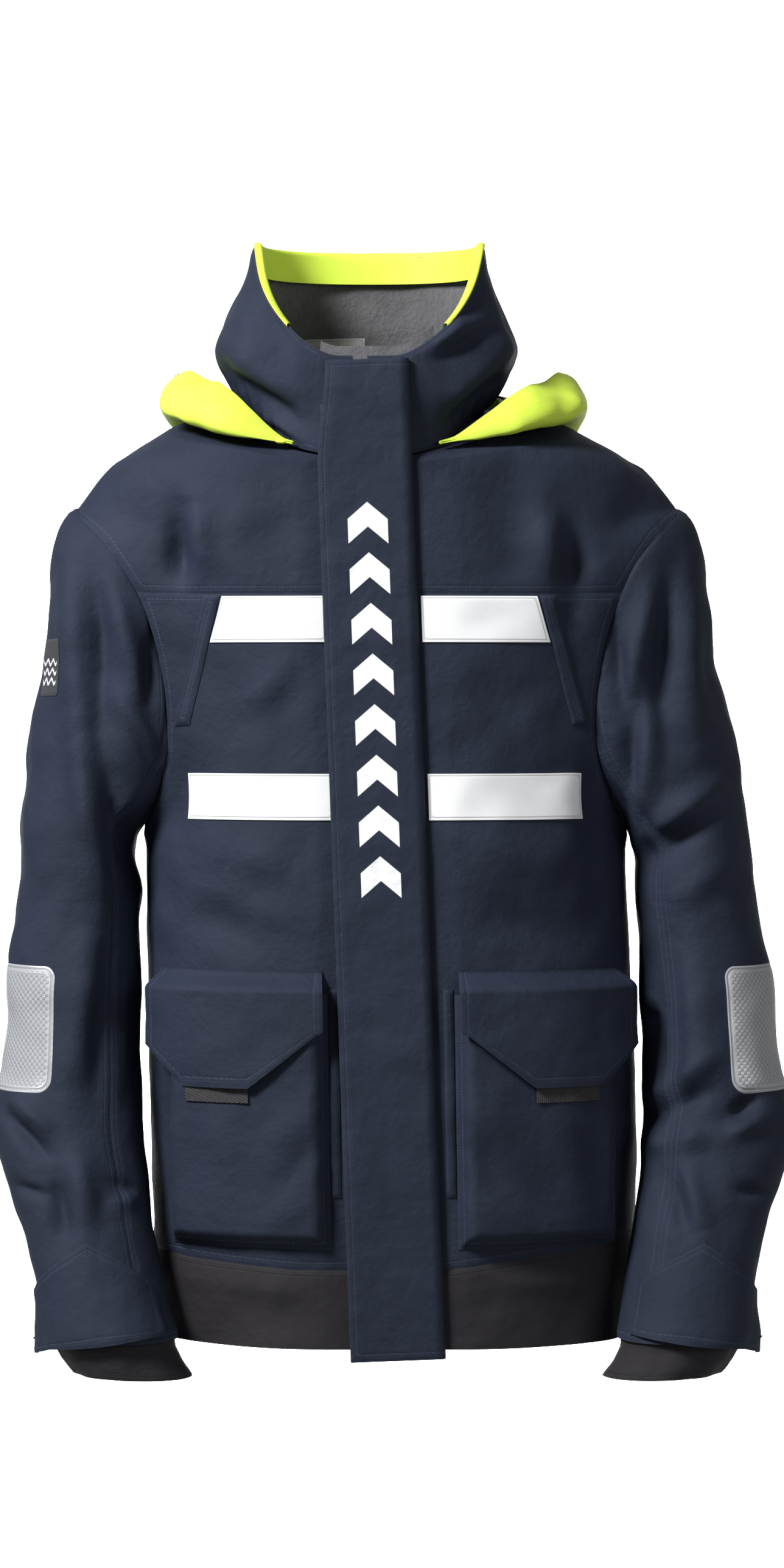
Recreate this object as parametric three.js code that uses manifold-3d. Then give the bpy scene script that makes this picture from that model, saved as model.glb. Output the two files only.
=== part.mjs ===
// Foul weather jacket, worn shape, standing in its own frame: +X to the wearer's left,
// front towards -Y, +Z up, origin at the middle of the neck opening on the collar seam.
import * as THREE from 'three';
import { mergeVertices } from 'three/addons/utils/BufferGeometryUtils.js';
import Module from 'manifold-3d';

const wasm = await Module();
wasm.setup();

// ---- driving sizes, mm ----
const WALL = 3;                 // shell cloth with its lining
const GAP = 0.3;                // clearance between pieces that touch
const HEM_DROP = 764;           // collar seam down to the hem
const HEM_HALF = 200;           // half widths of the body
const HIP_HALF = 206;
const CHEST_HALF = 205;
const SHOULDER_HALF = 247;
const NECK_HALF = 88;
const BACK_REACH = 156;         // how far the back stands behind the neck
const FRONT_REACH_HEM = 150;    // how far the front stands before the neck, at the hem
const FRONT_REACH_TOP = 106;    // and at the top of the collar
const HIP_SWAY = 26;            // hips stand this far to the wearer's left
const ZIP_TOP_SHIFT = -5;       // zip line leans across by this much at the collar
const COLLAR_HALF = 125;        // widest half width of the collar
const COLLAR_FRONT_TOP = 50;
const COLLAR_SIDE_TOP = 149;
const NECK_TILT = 32;           // collar seam: lower in front, higher behind
const YOKE_DROP = 145;          // yoke seam below the neck
const HEM_BAND = 68;            // height of the hem band
const ELBOW_DROP = 400;
const CUFF_DROP = 758;
const SLEEVE_WIDTH = 112;       // width of the sleeve above the reflector
const SLEEVE_DEPTH = 132;
const FLAP_WIDTH = 76;          // storm flap
const FLAP_THICK = 2.5;
const FLAP_STAND = 6.5;         // its inner face before the body
const ZIP_SLOT = 12;
const BAND_HEIGHT = 38;         // white bands across the chest
const BAND_UPPER_DROP = 146;
const BAND_LOWER_DROP = 292;
const POCKET_TOP_DROP = 474;    // cargo pockets
const POCKET_BOTTOM_DROP = 682;
const POCKET_CLEAR = 14;        // pocket's inner edge beyond the storm flap
const POCKET_OUT = 182;         // its outer edge from the body's centre line
const POCKET_RAISE = 13;
const FLAP_ROOT_DROP = 455;     // pocket flaps
const FLAP_FOOT_DROP = 551;
const HOOD_WING = 52;           // how far the lowered hood spreads over the shoulder
const HOOD_TAIL = 168;          // and down the back

const POCKET_IN = FLAP_WIDTH / 2 + POCKET_CLEAR;

// ---- small tools ----
const V = (x, y, z) => new THREE.Vector3(x, y, z);
const lerp = (a, b, t) => a + (b - a) * t;
const clamp = (x, a, b) => Math.min(b, Math.max(a, x));
const smooth = (a, b, x) => {
  const t = clamp((x - a) / (b - a), 0, 1);
  return t * t * (3 - 2 * t);
};

// smooth curve through key rows; the first column is the key and rises row by row
function curve(rows, key, column) {
  const last = rows.length - 1;
  if (key <= rows[0][0]) return rows[0][column];
  if (key >= rows[last][0]) return rows[last][column];
  let i = 0;
  while (rows[i + 1][0] < key) i += 1;
  const slope = (k) => {
    const lo = Math.max(0, k - 1);
    const hi = Math.min(last, k + 1);
    return (rows[hi][column] - rows[lo][column]) / (rows[hi][0] - rows[lo][0]);
  };
  const h = rows[i + 1][0] - rows[i][0];
  const t = (key - rows[i][0]) / h;
  const a = rows[i][column];
  const b = rows[i + 1][column];
  return a * (1 + 2 * t) * (1 - t) ** 2 + slope(i) * h * t * (1 - t) ** 2
    + b * t * t * (3 - 2 * t) + slope(i + 1) * h * t * t * (t - 1);
}

function polyline(points, key) {
  let i = 0;
  while (i < points.length - 2 && points[i + 1][0] < key) i += 1;
  const t = clamp((key - points[i][0]) / (points[i + 1][0] - points[i][0]), 0, 1);
  return lerp(points[i][1], points[i + 1][1], t);
}

function solidFromArrays(points, triangles) {
  let volume = 0;
  for (let i = 0; i < triangles.length; i += 3) {
    const a = points[triangles[i]];
    const b = points[triangles[i + 1]];
    const c = points[triangles[i + 2]];
    volume += a.dot(b.clone().cross(c));
  }
  const order = volume < 0 ? [0, 2, 1] : [0, 1, 2];
  const flipped = triangles.map((_, i) => triangles[i - (i % 3) + order[i % 3]]);
  const geometry = new THREE.BufferGeometry();
  const numbers = points.flatMap((p) => [p.x, p.y, p.z]);
  geometry.setAttribute('position', new THREE.Float32BufferAttribute(numbers, 3));
  geometry.setIndex(flipped);
  return geometry;
}

// rings stacked into one closed solid
function loft(rings) {
  const points = rings.flat();
  const n = rings[0].length;
  const triangles = [];
  for (let j = 0; j < rings.length - 1; j += 1) {
    for (let i = 0; i < n; i += 1) {
      const a = j * n + i;
      const b = j * n + (i + 1) % n;
      triangles.push(a, b, b + n, a, b + n, a + n);
    }
  }
  for (const [row, turn] of [[0, true], [rings.length - 1, false]]) {
    const middle = V(0, 0, 0);
    rings[row].forEach((p) => middle.addScaledVector(p, 1 / n));
    points.push(middle);
    for (let i = 0; i < n; i += 1) {
      const a = row * n + i;
      const b = row * n + (i + 1) % n;
      triangles.push(points.length - 1, turn ? b : a, turn ? a : b);
    }
  }
  return solidFromArrays(points, triangles);
}

// a thick cloth sheet: place(u, v, face) with face 0 outside and 1 inside
function sheet(nu, nv, place) {
  const points = [];
  const triangles = [];
  for (let face = 0; face < 2; face += 1) {
    for (let j = 0; j <= nv; j += 1) {
      for (let i = 0; i <= nu; i += 1) points.push(place(i / nu, j / nv, face));
    }
  }
  const at = (i, j, face) => face * (nu + 1) * (nv + 1) + j * (nu + 1) + i;
  const quad = (a, b, c, d) => triangles.push(a, b, c, a, c, d);
  for (let j = 0; j < nv; j += 1) {
    for (let i = 0; i < nu; i += 1) {
      quad(at(i, j, 0), at(i + 1, j, 0), at(i + 1, j + 1, 0), at(i, j + 1, 0));
      quad(at(i, j, 1), at(i, j + 1, 1), at(i + 1, j + 1, 1), at(i + 1, j, 1));
    }
  }
  for (let i = 0; i < nu; i += 1) {
    quad(at(i, 0, 0), at(i, 0, 1), at(i + 1, 0, 1), at(i + 1, 0, 0));
    quad(at(i, nv, 0), at(i + 1, nv, 0), at(i + 1, nv, 1), at(i, nv, 1));
  }
  for (let j = 0; j < nv; j += 1) {
    quad(at(0, j, 0), at(0, j + 1, 0), at(0, j + 1, 1), at(0, j, 1));
    quad(at(nu, j, 0), at(nu, j, 1), at(nu, j + 1, 1), at(nu, j + 1, 0));
  }
  return solidFromArrays(points, triangles);
}

function toManifold(source) {
  const bare = source.clone();
  bare.deleteAttribute('normal');
  bare.deleteAttribute('uv');
  const geometry = mergeVertices(bare, 1e-4);
  return new wasm.Manifold(new wasm.Mesh({
    numProp: 3,
    vertProperties: new Float32Array(geometry.attributes.position.array),
    triVerts: new Uint32Array(geometry.index.array),
  }));
}

function fromManifold(manifold) {
  const mesh = manifold.getMesh();
  const geometry = new THREE.BufferGeometry();
  const p = [];
  for (let i = 0; i < mesh.vertProperties.length; i += mesh.numProp) {
    p.push(mesh.vertProperties[i], mesh.vertProperties[i + 1], mesh.vertProperties[i + 2]);
  }
  geometry.setAttribute('position', new THREE.Float32BufferAttribute(p, 3));
  geometry.setIndex(Array.from(mesh.triVerts));
  return geometry;
}

// an outline in the XZ plane pushed through from y0 to y1
function prism(outline, y0, y1) {
  const shape = new THREE.Shape(outline.map(([x, z]) => new THREE.Vector2(x, z)));
  const geometry = new THREE.ExtrudeGeometry(shape, { depth: y1 - y0, bevelEnabled: false });
  geometry.rotateX(Math.PI / 2);
  geometry.translate(0, y1, 0);
  return toManifold(geometry);
}

// an outline in the XY plane raised from z0 to z1
function bar(outline, z0, z1) {
  const shape = new THREE.Shape(outline.map(([x, y]) => new THREE.Vector2(x, y)));
  const geometry = new THREE.ExtrudeGeometry(shape, { depth: z1 - z0, bevelEnabled: false });
  geometry.translate(0, 0, z0);
  return geometry;
}

const box = (x0, x1, y0, y1, z0, z1) => {
  const geometry = new THREE.BoxGeometry(x1 - x0, y1 - y0, z1 - z0);
  geometry.translate((x0 + x1) / 2, (y0 + y1) / 2, (z0 + z1) / 2);
  return geometry;
};

// ---- the front plane and the zip line ----
const HEM_Z = -HEM_DROP;
const frontPlane = (z) => lerp(-FRONT_REACH_HEM, -FRONT_REACH_TOP,
  (z - HEM_Z) / (COLLAR_FRONT_TOP - HEM_Z));
const zipFoot = V(HIP_SWAY - 1, frontPlane(HEM_Z), HEM_Z);
const zipHead = V(ZIP_TOP_SHIFT, frontPlane(COLLAR_FRONT_TOP), COLLAR_FRONT_TOP);
const ZIP_LENGTH = zipFoot.distanceTo(zipHead);
const placketUp = zipHead.clone().sub(zipFoot).normalize();
const planeSlope = (FRONT_REACH_HEM - FRONT_REACH_TOP) / (COLLAR_FRONT_TOP - HEM_Z);
const placketIn = V(0, 1, -planeSlope).normalize();
const placketAcross = placketIn.clone().cross(placketUp).normalize();
const placketTurn = new THREE.Matrix4().makeBasis(placketAcross, placketIn, placketUp);
const placketMatrix = placketTurn.clone().setPosition(zipFoot);

// ---- body surface ----
// rows: along, height, half width, back reach, sway, squareness, tilt
const bodyKeys = [
  [HEM_Z, HEM_HALF, 0.82 * BACK_REACH, HIP_SWAY, 2.4, 0],
  [0.916 * HEM_Z, 0.99 * HIP_HALF, 0.85 * BACK_REACH, 0.92 * HIP_SWAY, 2.4, 0],
  [0.785 * HEM_Z, HIP_HALF, 0.86 * BACK_REACH, 0.85 * HIP_SWAY, 2.4, 0],
  [0.61 * HEM_Z, 0.99 * HIP_HALF, 0.885 * BACK_REACH, 0.77 * HIP_SWAY, 2.4, 0],
  [0.458 * HEM_Z, 0.99 * CHEST_HALF, 0.95 * BACK_REACH, 0.62 * HIP_SWAY, 2.35, 0],
  [0.353 * HEM_Z, CHEST_HALF, BACK_REACH, 0.5 * HIP_SWAY, 2.3, 0],
  [0.275 * HEM_Z, lerp(CHEST_HALF, SHOULDER_HALF, 0.27), 1.01 * BACK_REACH, 12, 2.3, 0],
  [0.196 * HEM_Z, lerp(CHEST_HALF, SHOULDER_HALF, 0.74), 0.97 * BACK_REACH, 11, 2.3, 0],
  [0.137 * HEM_Z, SHOULDER_HALF, 0.9 * BACK_REACH, 10, 2.25, 0],
  [0.085 * HEM_Z, 0.97 * SHOULDER_HALF, 0.81 * BACK_REACH, 9, 2.2, 4],
  [0.042 * HEM_Z, 0.866 * SHOULDER_HALF, 0.72 * BACK_REACH, 7, 2.2, 0.5 * NECK_TILT],
  [0.009 * HEM_Z, 0.69 * SHOULDER_HALF, 0.64 * BACK_REACH, 4, 2.2, NECK_TILT],
];
const bodyRows = [];
bodyKeys.forEach((row, i) => {
  const before = bodyKeys[i - 1];
  const step = before ? Math.hypot(row[0] - before[0], row[1] - before[1]) : 0;
  bodyRows.push([(before ? bodyRows[i - 1][0] : 0) + step, ...row]);
});
const BODY_LAST = bodyRows[bodyRows.length - 1][0];

// one point of an oval ring; phi is 0 in front and grows towards the wearer's left
function ovalPoint(phi, half, front, back, shift, square, z) {
  const depth = (back - front) / 2;
  const sx = Math.abs(Math.sin(phi) / half) ** square;
  const sy = Math.abs(Math.cos(phi) / depth) ** square;
  const r = (sx + sy) ** (-1 / square);
  const y = (front + back) / 2 - r * Math.cos(phi);
  return V(shift + r * Math.sin(phi), Math.max(y, frontPlane(z)), z);
}

const collarKeys = [
  [-45, 0.70 * COLLAR_HALF, 0.53 * BACK_REACH, 0],
  [-3, NECK_HALF, 0.56 * BACK_REACH, 0],
  [26, 0.896 * COLLAR_HALF, 0.61 * BACK_REACH, 0],
  [56, COLLAR_HALF, 0.64 * BACK_REACH, 0],
  [80, 0.955 * COLLAR_HALF, 0.64 * BACK_REACH, 1],
  [126, 0.816 * COLLAR_HALF, 0.6 * BACK_REACH, 2],
  [COLLAR_SIDE_TOP + 6, 0.76 * COLLAR_HALF, 0.57 * BACK_REACH, 3],
];
const collarSeam = (phi) => -3 - NECK_TILT * Math.cos(phi) + 7 * Math.sin(phi) ** 2;
const collarTop = (phi) => {
  const away = Math.abs(Math.atan2(Math.sin(phi), Math.cos(phi)));
  return lerp(COLLAR_FRONT_TOP, COLLAR_SIDE_TOP, smooth(0.2, 1.45, away));
};
function collarBase(phi, v) {
  const z = lerp(collarSeam(phi), collarTop(phi), v);
  const half = curve(collarKeys, z, 1);
  const back = curve(collarKeys, z, 2);
  return ovalPoint(phi, half, frontPlane(z) - 3, back, curve(collarKeys, z, 3), 2.3, z);
}

function bodyBase(phi, s) {
  if (s > BODY_LAST) {
    const t = Math.min(1, (s - BODY_LAST) / 70);
    return bodyBase(phi, BODY_LAST).lerp(collarBase(phi, 0), t);
  }
  const z = curve(bodyRows, s, 1) - curve(bodyRows, s, 6) * Math.cos(phi);
  const front = frontPlane(curve(bodyRows, s, 1) - curve(bodyRows, s, 6)) - 3;
  return ovalPoint(phi, curve(bodyRows, s, 2), front, curve(bodyRows, s, 3),
    curve(bodyRows, s, 4), curve(bodyRows, s, 5), z);
}

function offsetPoint(base, a, b, distance, da = 0.004, db = 1.5) {
  const along = base(a + da, b).sub(base(a - da, b));
  const up = base(a, b + db).sub(base(a, b - db));
  const normal = along.cross(up).normalize();
  return base(a, b).addScaledVector(normal, distance);
}

const bodyPoint = (phi, s, off) => offsetPoint(bodyBase, phi, Math.min(s, BODY_LAST + 68), off);
const collarPoint = (phi, v, off) => {
  const w = clamp(v, 0.03, 0.97);
  const shifted = offsetPoint(collarBase, phi, w, off, 0.004, 0.02);
  return shifted.sub(collarBase(phi, w)).add(collarBase(phi, v));
};

const BODY_SIDES = 40;
function bodySolid(off, reachDown, reachUp) {
  const shares = [0, 60, 165, 300, 415, 480, 520, 555, 590, 625, 655, 695, 735, 780, 833];
  const rings = [];
  const ring = (make) => Array.from({ length: BODY_SIDES },
    (_, i) => make((i + 0.5) / BODY_SIDES * 2 * Math.PI));
  if (reachDown) rings.push(ring((phi) => bodyPoint(phi, 2, off).add(V(0, 0, -reachDown))));
  shares.forEach((share, i) => {
    const at = Math.max(2, share / 833 * BODY_LAST);
    rings.push(ring((phi) => bodyPoint(phi, at, off).add(V(0, 0, i === 0 ? -2 : 0))));
  });
  rings.push(ring((phi) => bodyPoint(phi, BODY_LAST + 35, off)));
  rings.push(ring((phi) => {
    const foot = collarPoint(phi, 0, off);
    return V(foot.x, foot.y, collarSeam(phi));
  }));
  if (reachUp) {
    rings.push(ring((phi) => {
      const foot = collarPoint(phi, 0, off);
      return V(foot.x, foot.y, collarSeam(phi) + reachUp);
    }));
  }
  return toManifold(loft(rings));
}

// height on the body -> distance along it, for the part below the shoulders
function alongAt(z) {
  let lo = 0;
  let hi = bodyRows[8][0];
  for (let i = 0; i < 40; i += 1) {
    const mid = (lo + hi) / 2;
    if (curve(bodyRows, mid, 1) < z) lo = mid;
    else hi = mid;
  }
  return (lo + hi) / 2;
}
const swayAt = (z) => curve(bodyRows, alongAt(z), 4);
const halfAt = (z) => curve(bodyRows, alongAt(z), 2);

function frontBase(x, z) {
  const s = alongAt(z);
  const half = curve(bodyRows, s, 2);
  const back = curve(bodyRows, s, 3);
  const front = frontPlane(z) - 3;
  const square = curve(bodyRows, s, 5);
  const share = Math.min(0.9995, (Math.abs(x - curve(bodyRows, s, 4)) / half) ** square);
  const y = (front + back) / 2 - (back - front) / 2 * (1 - share) ** (1 / square);
  return V(x, Math.max(y, frontPlane(z)), z);
}
const frontPoint = (x, z, off) => offsetPoint(frontBase, x, z, off, 0.6, 1.5);

// ---- sleeve surface ----
// rows: height, how far the inner edge stands off the body's side, width, y, depth
const sleeveKeys = [
  [-CUFF_DROP - 20, -24, 106, -113, 100],
  [-CUFF_DROP, -20, 108, -111, 104],
  [-0.95 * CUFF_DROP, -13, 106, -97, 107],
  [-0.897 * CUFF_DROP, -7, 108, -84, 110],
  [-0.831 * CUFF_DROP, -2, 1.07 * SLEEVE_WIDTH, -66, 114],
  [-0.778 * CUFF_DROP, 3, 1.13 * SLEEVE_WIDTH, -52, 0.92 * SLEEVE_DEPTH],
  [-0.712 * CUFF_DROP, 5, 1.03 * SLEEVE_WIDTH, -38, 0.94 * SLEEVE_DEPTH],
  [-0.62 * CUFF_DROP, 6, SLEEVE_WIDTH, -24, SLEEVE_DEPTH],
  [-0.528 * CUFF_DROP, 5, 0.92 * SLEEVE_WIDTH, -14, 1.06 * SLEEVE_DEPTH],
  [-0.455 * CUFF_DROP, 4, 0.9 * SLEEVE_WIDTH, -10, 1.12 * SLEEVE_DEPTH],
  [-0.409 * CUFF_DROP, -24, 1.1 * SLEEVE_WIDTH, -8, 1.18 * SLEEVE_DEPTH],
  [-0.35 * CUFF_DROP, -52, 1.3 * SLEEVE_WIDTH, -6, 1.21 * SLEEVE_DEPTH],
  [-0.264 * CUFF_DROP, -67, 1.17 * SLEEVE_WIDTH, -1, 1.21 * SLEEVE_DEPTH],
  [-0.198 * CUFF_DROP, -76, 1.02 * SLEEVE_WIDTH, 2, 1.12 * SLEEVE_DEPTH],
  [-0.1385 * CUFF_DROP, -69, 0.75 * SLEEVE_WIDTH, 4, 0.83 * SLEEVE_DEPTH],
  [-0.116 * CUFF_DROP, -54, 0.53 * SLEEVE_WIDTH, 5, 0.56 * SLEEVE_DEPTH],
  [-0.104 * CUFF_DROP, -44, 0.3 * SLEEVE_WIDTH, 5, 0.3 * SLEEVE_DEPTH],
];
const shoulderTop = bodyRows[8][1];
function sleeveBase(side, alpha, z) {
  const bodyHalf = z < shoulderTop ? halfAt(z) : SHOULDER_HALF;
  const sway = z < shoulderTop ? swayAt(z) : 10;
  const width = curve(sleeveKeys, z, 2);
  const middle = bodyHalf + curve(sleeveKeys, z, 1) + width / 2;
  const x = sway + side * (middle + width / 2 * Math.cos(alpha));
  return V(x, curve(sleeveKeys, z, 3) - curve(sleeveKeys, z, 4) / 2 * Math.sin(alpha), z);
}
function sleevePoint(side, alpha, z, off) {
  const base = (a, b) => sleeveBase(side, a, b);
  return offsetPoint(base, alpha, z, -off * side, 0.01, 1);
}

const SLEEVE_SIDES = 20;
function sleeveSolid(side, off, low) {
  const heights = [1, 0.95, 0.897, 0.831, 0.778, 0.712, 0.62, 0.528, 0.455, 0.409, 0.35,
    0.264, 0.198, 0.1385, 0.116].map((f) => -f * CUFF_DROP);
  if (low) heights.unshift(-CUFF_DROP - low);
  const ring = (z) => Array.from({ length: SLEEVE_SIDES },
    (_, i) => sleevePoint(side, (i + 0.5) / SLEEVE_SIDES * 2 * Math.PI, z, off));
  return toManifold(loft(heights.map(ring)));
}

// ---- materials and the node list ----
const cloth = (color) => new THREE.MeshStandardMaterial({ color, roughness: 0.9, metalness: 0 });
const NAVY = '#2c3446';
const CHARCOAL = '#232226';
const BRIGHT = '#d9ec6a';
const FLEECE = '#3c3b40';
const WHITE = '#ebedee';
const SILVER = '#b9bcc2';
const PLASTIC = '#2a2b2e';

const jacket = new THREE.Group();
jacket.name = 'foul_weather_jacket';
const placket = new THREE.Group();
placket.name = 'placket';
placket.position.copy(zipFoot);
placket.quaternion.setFromRotationMatrix(placketTurn);
jacket.add(placket);

function add(name, source, color, parent = jacket) {
  const geometry = source.getMesh ? fromManifold(source) : source;
  const mesh = new THREE.Mesh(geometry, cloth(color));
  mesh.name = name;
  parent.add(mesh);
}

function placketCut(half) {
  const cut = box(-half, half, -30, 30, -60, ZIP_LENGTH + 60);
  cut.applyMatrix4(placketMatrix);
  return toManifold(cut);
}

// ---- body panels ----
const sleeveHole = [-1, 1].map((side) => sleeveSolid(side, GAP, 8));
const sleeveFill = sleeveHole[0].add(sleeveHole[1]);
const bodyShell = bodySolid(0, 0, 0).subtract(bodySolid(-WALL, 30, 30))
  .subtract(sleeveFill).subtract(placketCut(ZIP_SLOT / 2));

const bodyFill = bodySolid(GAP, 0, 0);
const WIDE = 700;
const SEAM_Y = 6;
const YOKE_Z = -YOKE_DROP;
const bandTopFront = [[-WIDE, HEM_Z + HEM_BAND + 6], [-0.8 * HIP_HALF, HEM_Z + HEM_BAND + 4],
  [-60, HEM_Z + HEM_BAND - 3], [66, HEM_Z + HEM_BAND - 3], [120, HEM_Z + HEM_BAND + 4],
  [206, HEM_Z + HEM_BAND + 14], [WIDE, HEM_Z + HEM_BAND + 16]];
const bandTopBack = [[-WIDE, HEM_Z + HEM_BAND + 6], [WIDE, HEM_Z + HEM_BAND + 16]];
const lifted = (line, by) => line.map(([x, z]) => [x, z + by]);
const layer = (lower, upper) => [...lower, ...[...upper].reverse()];
const level = (z) => [[-WIDE, z], [WIDE, z]];
const halfGap = GAP / 2;

function panels(outline, y0, y1) {
  return bodyShell.intersect(prism(outline, y0, y1));
}
const leftSide = prism([[zipFoot.x, -2000], [WIDE, -2000], [WIDE, 1000], [zipHead.x, 1000],
  [zipHead.x, COLLAR_FRONT_TOP], [zipFoot.x, HEM_Z]], -500, 500);
const FRONT = [-400, SEAM_Y - halfGap];
const BACK = [SEAM_Y + halfGap, 400];
const yokeFront = panels(layer(level(YOKE_Z + halfGap), level(400)), ...FRONT);
const midFront = panels(layer(lifted(bandTopFront, halfGap), level(YOKE_Z - halfGap)), ...FRONT);
const hemFront = panels(layer(level(-2000), lifted(bandTopFront, -halfGap)), ...FRONT);
add('front_yoke_left', yokeFront.intersect(leftSide), NAVY);
add('front_yoke_right', yokeFront.subtract(leftSide), NAVY);
add('front_panel_left', midFront.intersect(leftSide), NAVY);
add('front_panel_right', midFront.subtract(leftSide), NAVY);
add('hem_band_left', hemFront.intersect(leftSide), CHARCOAL);
add('hem_band_right', hemFront.subtract(leftSide), CHARCOAL);
add('back_yoke', panels(layer(level(YOKE_Z - 8 + halfGap), level(400)), ...BACK), NAVY);
add('back_panel', panels(layer(lifted(bandTopBack, halfGap), level(YOKE_Z - 8 - halfGap)), ...BACK),
  NAVY);
add('hem_band_back', panels(layer(level(-2000), lifted(bandTopBack, -halfGap)), ...BACK), CHARCOAL);

// ---- collar ----
const COLLAR_SIDES = 36;
const collarStep = (2 * Math.PI - 0.02) / COLLAR_SIDES;
const collarTurn = (k) => 0.01 + k * collarStep;
const COLLAR_ROWS = 5;
const collarRise = (k) => lerp(0.018, 1, k / COLLAR_ROWS);
const collarSheet = (k0, k1, r0, r1, off0, off1) => sheet(k1 - k0, r1 - r0,
  (u, v, face) => collarPoint(collarTurn(lerp(k0, k1, u)), collarRise(lerp(r0, r1, v)),
    face ? off1 : off0));
const LINING_FACE = -2 * WALL;
add('collar_shell', toManifold(collarSheet(0, COLLAR_SIDES, 0, COLLAR_ROWS, 0, -WALL))
  .subtract(placketCut(ZIP_SLOT / 2)), NAVY);
add('collar_lining', toManifold(collarSheet(0, COLLAR_SIDES, 0, COLLAR_ROWS, -WALL - GAP,
  LINING_FACE)).subtract(placketCut(17)), FLEECE);
add('collar_facing', collarSheet(4, COLLAR_SIDES - 4, COLLAR_ROWS - 1, COLLAR_ROWS,
  LINING_FACE - GAP, LINING_FACE - 1.6), BRIGHT);
add('neck_label', collarSheet(18, 22, 1, 2, LINING_FACE - GAP, LINING_FACE - 1.1), WHITE);

// hanging loop: a flat tape standing off the fleece between its two sewn ends
const loopV = 0.13;
const loopFoot = collarPoint(Math.PI, loopV, LINING_FACE);
const faceY = (x) => {
  const phi = Math.PI - Math.asin(clamp(x / loopFoot.y, -1, 1));
  return Math.min(collarPoint(phi, loopV - 0.03, LINING_FACE).y,
    collarPoint(phi, loopV + 0.05, LINING_FACE).y);
};
const loopOuter = [[-31, faceY(31) - 0.5], [-22, faceY(22) - 0.9], [-16, loopFoot.y - 12],
  [16, loopFoot.y - 12], [22, faceY(22) - 0.9], [31, faceY(31) - 0.5]];
const loopInner = loopOuter.map(([x, y]) => [x, y - 1.4]).reverse();
add('hang_loop', bar([...loopOuter, ...loopInner], loopFoot.z - 4, loopFoot.z + 4), CHARCOAL);

// ---- hood lying on the shoulders ----
function bodyWalk(phi, distance) {
  let s = BODY_LAST + 68;
  let walked = 0;
  let here = bodyBase(phi, s);
  while (s > 20) {
    const next = bodyBase(phi, s - 4);
    const step = next.distanceTo(here);
    if (walked + step >= distance) return s - 4 * (distance - walked) / step;
    walked += step;
    here = next;
    s -= 4;
  }
  return s;
}
const hoodWidth = (phi) => {
  const away = Math.abs(phi);
  const side = HOOD_WING * (phi > 0 ? 1.12 : 0.88) * smooth(0.55, 1.45, away) + 24;
  return side + (HOOD_TAIL - HOOD_WING) * smooth(1.7, 3.0, away);
};
const hoodHeight = (phi) => 7 + 33 * smooth(0.6, 1.3, Math.abs(phi))
  + 22 * smooth(1.7, 2.8, Math.abs(phi));
const hoodProfile = [[0.08, 0.05], [0.45, 0.04], [0.8, 0.05], [0.96, 0.16], [1, 0.42],
  [0.93, 0.72], [0.78, 0.93], [0.62, 1]];
function hoodPoint(phi, v, off) {
  const k = clamp(v, 0, 1) * (hoodProfile.length - 1);
  const w = hoodWidth(phi);
  const h = hoodHeight(phi);
  const spot = (q) => {
    const j = clamp(q, 0, hoodProfile.length - 1);
    const a = hoodProfile[Math.floor(j)];
    const b = hoodProfile[Math.min(hoodProfile.length - 1, Math.floor(j) + 1)];
    const t = j - Math.floor(j);
    return [lerp(a[0], b[0], t) * w, 6.5 + lerp(a[1], b[1], t) * h];
  };
  const a = spot(Math.max(0, k - 0.5));
  const b = spot(Math.min(hoodProfile.length - 1, k + 0.5));
  const length = Math.hypot(b[0] - a[0], b[1] - a[1]);
  const here = spot(k);
  const d = here[0] - off * (b[1] - a[1]) / length;
  const o = here[1] + off * (b[0] - a[0]) / length;
  const s = bodyWalk(phi, Math.max(0.5, d));
  const away = V(0.5 * Math.sin(phi), -0.5 * Math.cos(phi), 0.85).normalize();
  return bodyBase(phi, s).addScaledVector(away, o);
}
const HOOD_FROM = 0.62;
const HOOD_SIDES = 26;
const hoodStep = 2 * (Math.PI - HOOD_FROM) / HOOD_SIDES;
const hoodSheet = (skip, inner, outer) => sheet(HOOD_SIDES - 2 * skip, 8, (u, v, face) => {
  const turn = HOOD_FROM + hoodStep * lerp(skip, HOOD_SIDES - skip, u);
  const phi = turn > Math.PI ? turn - 2 * Math.PI : turn;
  return hoodPoint(phi, v, face ? inner : outer);
});
const hoodRoom = toManifold(collarSheet(0, COLLAR_SIDES, 0, COLLAR_ROWS, GAP, LINING_FACE))
  .add(bodyFill);
add('hood_shell', toManifold(hoodSheet(0, 2.2, 0)).subtract(hoodRoom), BRIGHT);
add('hood_lining', toManifold(hoodSheet(3, 4.4, 2.7)).subtract(hoodRoom), CHARCOAL);

// ---- storm flap, in the placket's own frame ----
const FW = FLAP_WIDTH / 2;
const faceOut = -FLAP_STAND - FLAP_THICK;
const HINGE_X = FW - 0.6;
const HINGE_Y = -3.2;
const flapSection = [[-FW, -FLAP_STAND], [-FW, faceOut], [HINGE_X - 4.2, faceOut],
  [HINGE_X - 4.2, -FLAP_STAND]];
add('storm_flap', bar(flapSection, -8, ZIP_LENGTH - 4), NAVY, placket);
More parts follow.
